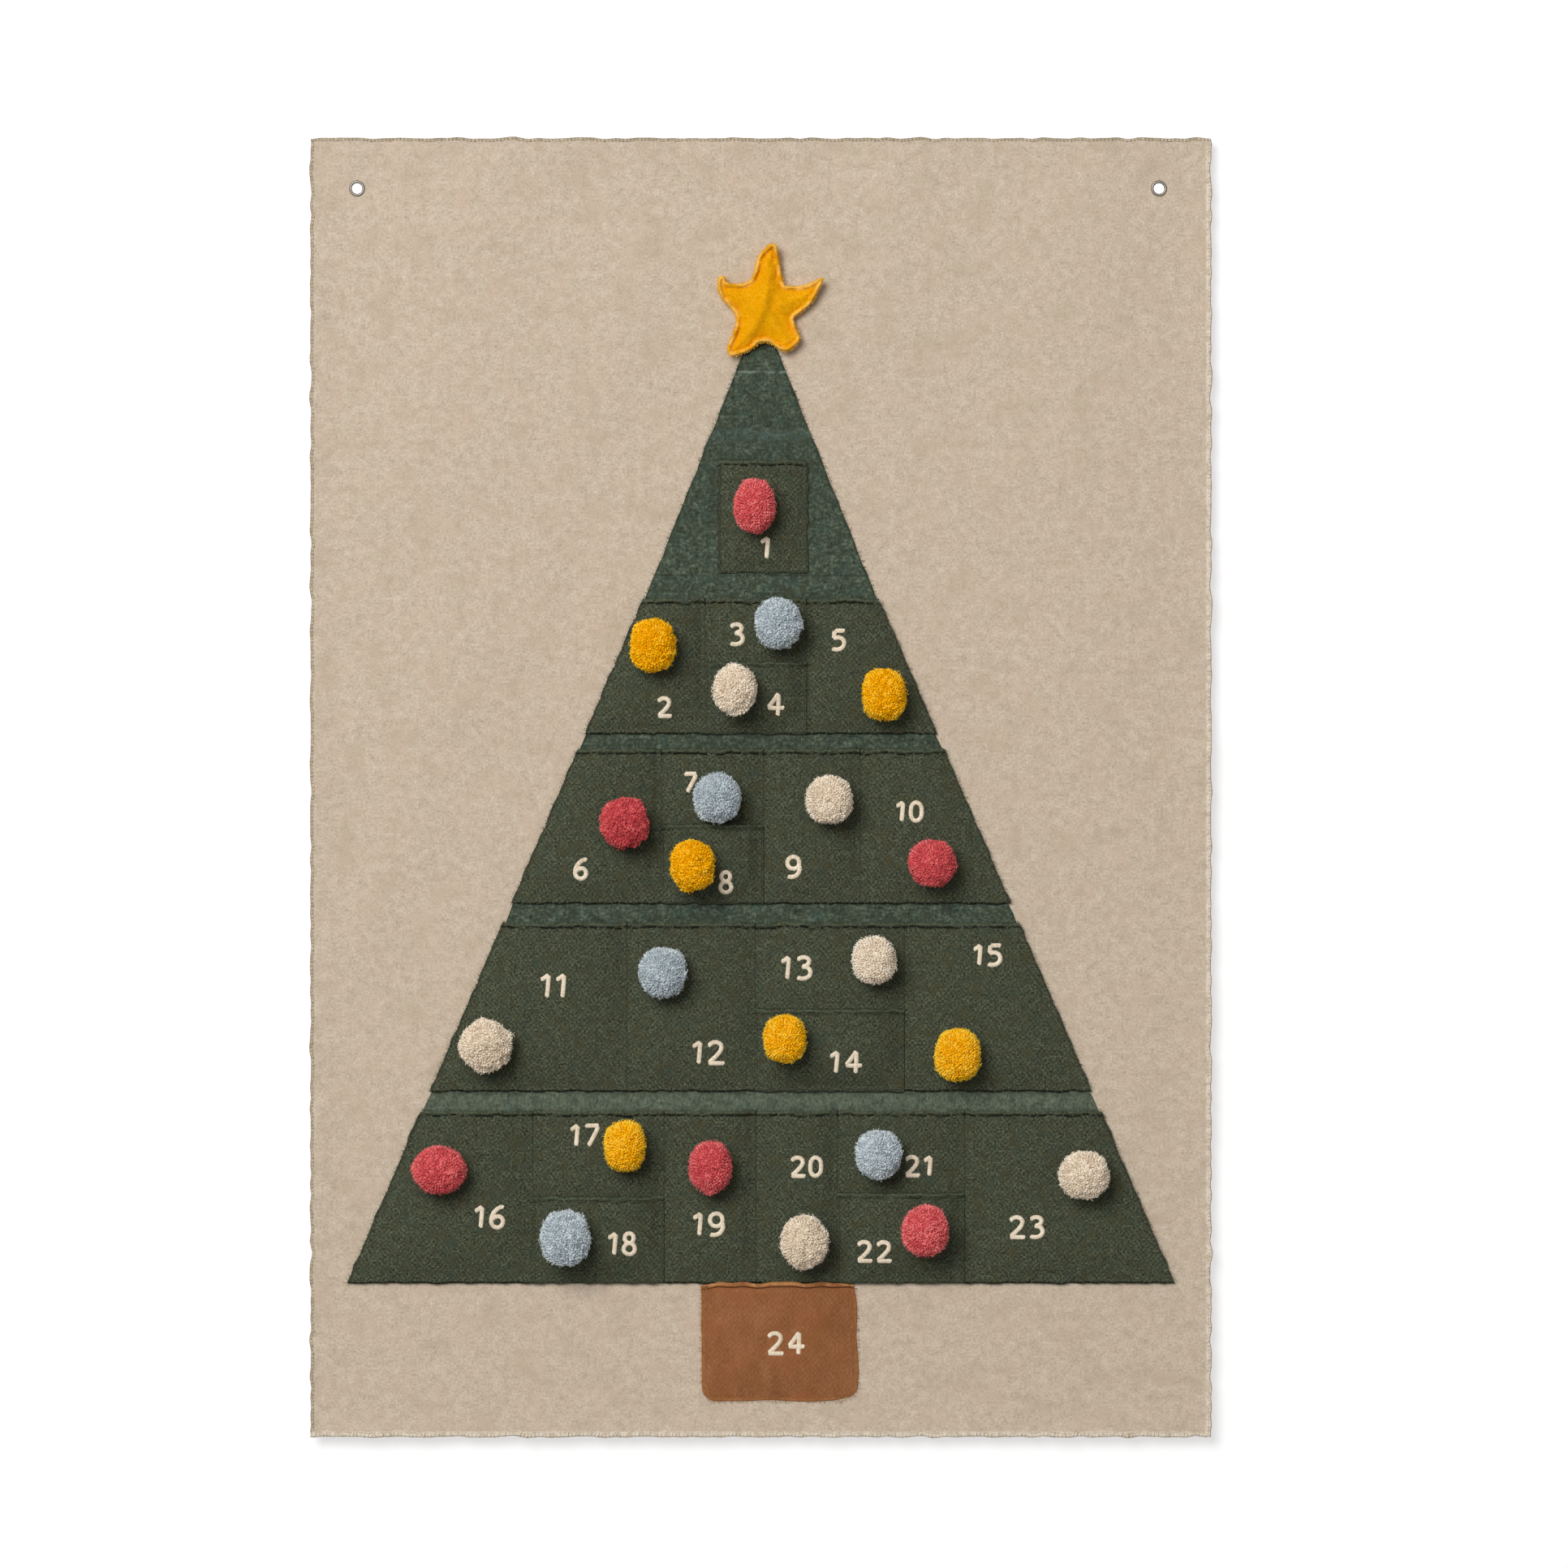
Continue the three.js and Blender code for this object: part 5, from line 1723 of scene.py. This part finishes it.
@dataclass
class Star:
    """A padded star: two layers of felt sewn together a little inside their raw edges."""

    rim: float = 3.7
    rim_rise: float = 2.4
    groove: float = 1.1
    cell: float = 0.85
    flat_cell: float = 3.0
    pad_reach: float = 15.0
    curl: float = 5.0
    across: float = 5.4
    up: float = 761.9
    sway: Wander = Wander(73, 7, 26, 0.55)
    lumps: Wander = Wander(71, 9, 30, 0.6)

    # The outline from the star's middle, clockwise from the left of its top arm
    outline = (
        (-0.8, 43.8), (3.2, 46.4), (7.0, 44.4), (8.4, 38.0), (9.6, 29.3), (11.2, 20.3), (13.4, 14.6), (17.5, 13.4),
        (26.1, 13.7), (33.9, 15.9), (40.6, 19.3), (43.0, 18.2), (40.4, 11.9), (36.2, 3.8), (30.4, -3.0),
        (24.6, -7.8), (20.2, -12.0), (22.4, -19.7), (25.3, -27.5), (20.6, -33.6), (15.0, -37.2), (9.2, -35.8),
        (3.4, -31.6), (-1.6, -29.9), (-6.8, -31.2), (-13.2, -36.0), (-22.3, -39.8), (-28.7, -40.6), (-31.6, -35.9),
        (-29.2, -28.8), (-25.8, -19.7), (-24.5, -12.2), (-27.0, -5.3), (-35.0, 3.0), (-38.6, 10.6), (-38.4, 18.4),
        (-36.2, 21.6), (-33.2, 20.0), (-31.2, 16.2), (-22.3, 15.3), (-15.4, 17.0), (-11.4, 21.5), (-9.4, 29.3),
        (-6.8, 37.6),
    )

    def build(self, finishes: Finishes, threader: Threader, tree: Tree) -> None:
        """Make the padded front, the flat back and the fibres of the raw edges.

        Args:
            finishes: the materials.
            threader: lays the fibres.
            tree: the tree that the star sits on.
        """
        front_low, front_high = box_mm("star_front_felt")
        back_low, back_high = box_mm("star_back_felt")
        self.middle = (self.across, tree.low[2] + self.up)
        edge = np.array(smooth_path(self.outline[::-1], True, 5))
        pad = self._felt("star_padded_front", edge, front_high[1], front_low[1], finishes, True)
        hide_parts("star_front_felt")
        flat = self._felt("star_felt_back", edge * 0.995, tree.low[1] - 0.3, back_low[1], finishes, False)
        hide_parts("star_back_felt")
        raw = edge[::-1]
        line = np.stack([raw[:, 0], front_high[1] - 1.5 - self._lift(raw), raw[:, 1]], 1)
        line += np.array([self.middle[0], 0, self.middle[1]])
        fibre = Strand((0, -0.8, 0.6), (0.1, 0, 0.8), (0.4, 0.6, 0.6), (0.5, 1.1, 0.2), 0.45, sides=3, steps=3,
                       turn=50, tilt=30, smallest=0.5, largest=1.3)
        fibres = threader.sew("star_raw_edge", [line], fibre, 0.8, finishes.felt_fibre, 81, closed=True)
        for piece in (pad, flat, fibres):
            fit(piece, "star_felt", "star")
            log.info("star: %s, %d faces", piece.name, len(piece.data.polygons))

    def _lift(self, places: Points) -> Points:
        """Give how far the arms curl off the panel: the right-hand ones most."""
        reach = np.clip((np.linalg.norm(places, axis=1) - 16) / 28, 0, 1.2)
        return self.curl * reach ** 2 * (1 - 0.65 * fade(places[:, 0] + 12, 22))

    def _felt(self, name: str, edge: Points, back: float, front: float, finishes: Finishes,
              padded: bool) -> Piece:
        """Make one layer: a net of triangles inside the outline, the same behind it, and a wall between.

        Args:
            name: the piece's name.
            edge: the outline from the star's middle.
            back: the depth of its back.
            front: the depth of its front.
            finishes: the materials.
            padded: whether its front is crowned.
        Returns:
            The layer.
        """
        cell = self.cell if padded else self.flat_cell
        x, z = np.meshgrid(np.arange(*np.array([edge.min(0)[0], edge.max(0)[0]]), cell),
                           np.arange(edge.min(0)[1], edge.max(0)[1], cell))
        x[::2] += cell / 2
        net = np.stack([x.ravel(), z.ravel()], 1)
        net = net[self._inside(net, edge) & (self._gap(net, edge) > cell * 0.6)]
        ring = [(i, (i + 1) % len(edge)) for i in range(len(edge))]
        flat, _, triangles, *_ = delaunay_2d_cdt([Vector(p) for p in (*edge, *net)], ring, [], 1, 1e-5)
        places = np.array([tuple(p) for p in flat])
        gap = self._gap(places, edge)
        depth = np.full(len(places), back - 2.6 if padded else front)
        if padded:
            depth -= self._crown(places, gap, depth[0] - front)
            depth += 0.5 * (gap < 0.1)
        lift = self._lift(places)
        across = places[:, 0] + self.middle[0]
        up = places[:, 1] + self.middle[1]
        points = np.concatenate([np.stack([across, depth - lift, up], 1), np.stack([across, back - lift, up], 1)])
        count = len(places)
        faces = [list(f) for f in triangles]
        walk = {(f[i], f[(i + 1) % 3]) for f in faces for i in range(3)}
        wall = [[b, a, a + count, b + count] for a, b in sorted(walk) if (b, a) not in walk]
        behind = [[i + count for i in f[::-1]] for f in faces]
        felt = make_piece(name, points, faces + behind + wall, finishes.felt, {HEM: np.concatenate([gap, gap])})
        return face_outwards(felt)

    @staticmethod
    def _gap(places: Points, edge: Points) -> Points:
        """Measure how far places are from the outline."""
        ahead = np.roll(edge, -1, 0) - edge
        off = places[:, None] - edge[None]
        part = np.clip((off * ahead).sum(2) / (ahead ** 2).sum(1), 0, 1)
        return np.linalg.norm(off - part[..., None] * ahead, axis=2).min(1)

    @staticmethod
    def _inside(places: Points, edge: Points) -> Points:
        """Tell which places are inside the outline, by how often a line to the right crosses it."""
        ahead = np.roll(edge, -1, 0)
        x, z = places[:, None, 0], places[:, None, 1]
        spans = (edge[:, 1] > z) != (ahead[:, 1] > z)
        rise = np.where(ahead[:, 1] == edge[:, 1], 1e-9, ahead[:, 1] - edge[:, 1])
        crossing = edge[:, 0] + (z - edge[:, 1]) * (ahead[:, 0] - edge[:, 0]) / rise
        return (spans & (x < crossing)).sum(1) % 2 == 1

    def _crown(self, places: Points, gap: Points, crown: float) -> Points:
        """Give how far the front stands off its rim: a rolled rim, a sewn groove and the padding.

        Args:
            places: where, from the star's middle.
            gap: how far each place is from the outline.
            crown: the padding's height.
        Returns:
            How far it stands off at each place.
        """
        x, z = places.T
        sway = self.sway.over(x, z)
        seam = gap - self.rim - sway
        inside = np.clip(seam / self.pad_reach, 0, 1)
        pad = (1 - (1 - inside) ** 1.8) * crown * 0.86
        rim = self.rim_rise * (1 + sway) * np.exp(-((gap - 1.5 - sway * 0.5) / 1.3) ** 2)
        groove = -self.groove * np.clip(0.6 + self.lumps.over(x * 2, z * 2), 0, 1.2) * np.exp(-(seam / 1.5) ** 2)
        # A ridge runs from the top arm to the lower left arm, and a crease to the lower right one
        ridge = 3.6 * np.exp(-((x * 0.95 - z * 0.3 + 3.5) / 5.5) ** 2)
        crease = -2.4 * np.exp(-((x * 0.82 + z * 0.57 - 1.0) / 3.0) ** 2) * np.clip((3 - z) / 12, 0, 1)
        fold = -2.2 * np.exp(-((z - 0.35 * x + 1.0) / 2.6) ** 2) * np.clip((x - 3) / 12, 0, 1)
        return pad + rim + groove + (ridge + crease + fold + self.lumps.over(x, z)) * inside


# Light, camera and surroundings


@dataclass(frozen=True)
class PhotoView:
    """The view of the photograph, from sizes read on it."""

    pixels: int = 1932
    scale: float = 0.6323
    panel_middle: float = 937.5
    panel_foot: float = 1769.0
    distance: float = 6000.0
    sensor: float = 36.0

    def build(self, foot: float) -> None:
        """Set up the camera straight in front of the middle of the picture.

        Args:
            foot: the height of the panel's bottom edge.
        """
        camera = bpy.data.objects.new("camera", bpy.data.cameras.new("camera"))
        bpy.context.scene.collection.objects.link(camera)
        middle = self.pixels / 2
        across = (middle - self.panel_middle) * self.scale
        up = foot + (self.panel_foot - middle) * self.scale
        camera.location = Vector((across, -self.distance, up)) * MM
        camera.rotation_euler = (math.pi / 2, 0, 0)
        camera.data.sensor_width = self.sensor
        camera.data.lens = self.sensor * self.distance / (self.pixels * self.scale)
        camera.data.clip_end = 50
        bpy.context.scene.camera = camera


@dataclass(frozen=True)
class Studio:
    """Plain soft light from the upper left, a white wall just behind and a pale floor well below."""

    fill: float = 0.28
    key_power: float = 295.0
    key_size: float = 3.15
    key_from: tuple[float, float, float] = (-1.8, -5.34, 2.04)
    back_strength: float = 0.9
    wall_gap: float = 11.0
    wall_glow: float = 0.58
    wall_slope: float = 0.004
    floor_drop: float = 1300.0

    def build(self, middle: Vector, eyelets: Sequence[float]) -> None:
        """Set up the light, the world, the wall and the floor.

        Args:
            middle: the middle of the panel, in metres.
            eyelets: where the eyelets are across.
        """
        self._world()
        lamp = bpy.data.lights.new("key", "AREA")
        lamp.shape = "DISK"
        lamp.size = self.key_size
        lamp.energy = self.key_power
        key = bpy.data.objects.new("key", lamp)
        key.location = middle + Vector(self.key_from)
        key.rotation_euler = Vector(self.key_from).to_track_quat("Z", "Y").to_euler()
        bpy.context.scene.collection.objects.link(key)
        sun = bpy.data.objects.new("back", bpy.data.lights.new("back", "SUN"))
        sun.data.energy = self.back_strength
        sun.data.angle = math.radians(30)
        sun.rotation_euler = Vector((0.4, 1.0, 0.6)).to_track_quat("Z", "Y").to_euler()
        bpy.context.scene.collection.objects.link(sun)
        self._wall(eyelets)
        self._floor()

    def _world(self) -> None:
        """Light the object evenly, and show white to the camera and to gloss."""
        world = bpy.data.worlds.new("studio")
        bpy.context.scene.world = world
        world.use_nodes = True
        tree = world.node_tree
        tree.nodes.clear()
        rays = add_node(tree, "ShaderNodeLightPath").outputs
        seen = rays["Is Camera Ray"]
        for ray in ("Is Glossy Ray", "Is Transmission Ray"):
            seen = add_node(tree, MATH, {0: seen, 1: rays[ray]}, operation="MAXIMUM")
        strength = add_node(tree, RANGE, span(seen, 0.0, 1.0, self.fill, 1.0))
        light = add_node(tree, "ShaderNodeBackground", {"Color": (1, 1, 1, 1), "Strength": strength})
        add_node(tree, "ShaderNodeOutputWorld", {"Surface": light})

    def _plane(self, name: str, corners: Path, material: Material) -> Piece:
        """Make a stage plane that gives the object no light.

        Args:
            name: its name.
            corners: its corners in metres.
            material: its finish.
        Returns:
            The plane.
        """
        mesh = bpy.data.meshes.new(name)
        mesh.from_pydata([tuple(c) for c in corners], [], [[0, 1, 2, 3]])
        mesh.materials.append(material)
        plane = show(name, mesh)
        plane.visible_diffuse = False
        return plane

    def _wall(self, eyelets: Sequence[float]) -> None:
        """Make the wall. It takes the calendar's shadow and is clear from behind."""
        material, tree = start_material("white_wall")
        # Half of the white is the paint's own, so that the shadow on it stays pale and soft
        paint = add_node(tree, "ShaderNodeBsdfDiffuse", {"Color": (0.5, 0.5, 0.5, 1)})
        place = add_node(tree, "ShaderNodeTexCoord").outputs["Object"]
        strength = self.wall_glow
        for x in eyelets:
            gap = add_node(tree, VECTOR_MATH, {0: place, 1: (x * MM, self.wall_gap * MM, 0)},
                           operation="DISTANCE").outputs["Value"]
            # A glow on the wall behind each eyelet keeps it white through the hole, where the panel's shade would turn
            # it grey: painted light
            spot = add_node(tree, RANGE, span(gap, 5 * MM, 8 * MM, 0.8, 0.0))
            strength = add_node(tree, MATH, {0: spot, 1: strength}, operation="ADD")
        glow = add_node(tree, "ShaderNodeEmission", {"Color": (1, 1, 1, 1), "Strength": strength})
        white = add_node(tree, "ShaderNodeAddShader", {0: paint, 1: glow})
        behind = add_node(tree, "ShaderNodeNewGeometry").outputs["Backfacing"]
        both = add_node(tree, "ShaderNodeMixShader", {
            0: behind, 1: white, 2: add_node(tree, "ShaderNodeBsdfTransparent"),
        })
        add_node(tree, "ShaderNodeOutputMaterial", {"Surface": both})
        # The panel's foot hangs further off the wall than its top
        foot, top = -1.3, 2.5
        low, high = (self.wall_gap * MM - height * self.wall_slope for height in (foot, top))
        wall = self._plane("wall", [(-3, low, foot), (3, low, foot), (3, high, top), (-3, high, top)], material)
        wall.visible_shadow = False

    def _floor(self) -> None:
        """Make the pale floor."""
        material, tree = start_material("pale_floor")
        paint = add_node(tree, "ShaderNodeBsdfPrincipled", {"Base Color": linear("#f2f1ee"), "Roughness": 0.9})
        add_node(tree, "ShaderNodeOutputMaterial", {"Surface": paint})
        z = -self.floor_drop * MM
        self._plane("floor", [(-4, -4, z), (4, -4, z), (4, 4, z), (-4, 4, z)], material)


def main() -> None:
    """Build the calendar, its light and its camera."""
    logging.basicConfig(level=logging.INFO)
    bpy.context.scene.view_settings.view_transform = "Standard"
    finishes = Finishes()
    threader = Threader()
    panel = Panel()
    PhotoView().build(panel.low[2])
    Studio().build(Vector((panel.low + panel.high) / 2) * MM, [middle[0] for middle in panel.eyelets.values()])
    panel.build(finishes, threader)
    tree = Tree()
    pockets = TreePockets(tree)
    tree.build(finishes, threader, pockets.bare_strips())
    pockets.build(PocketMaker(finishes, threader))
    for day, shape in BALLS.items():
        Pompom(day, shape).build(finishes, threader)
    Star().build(finishes, threader, tree)


if __name__ == "__main__":
    main()
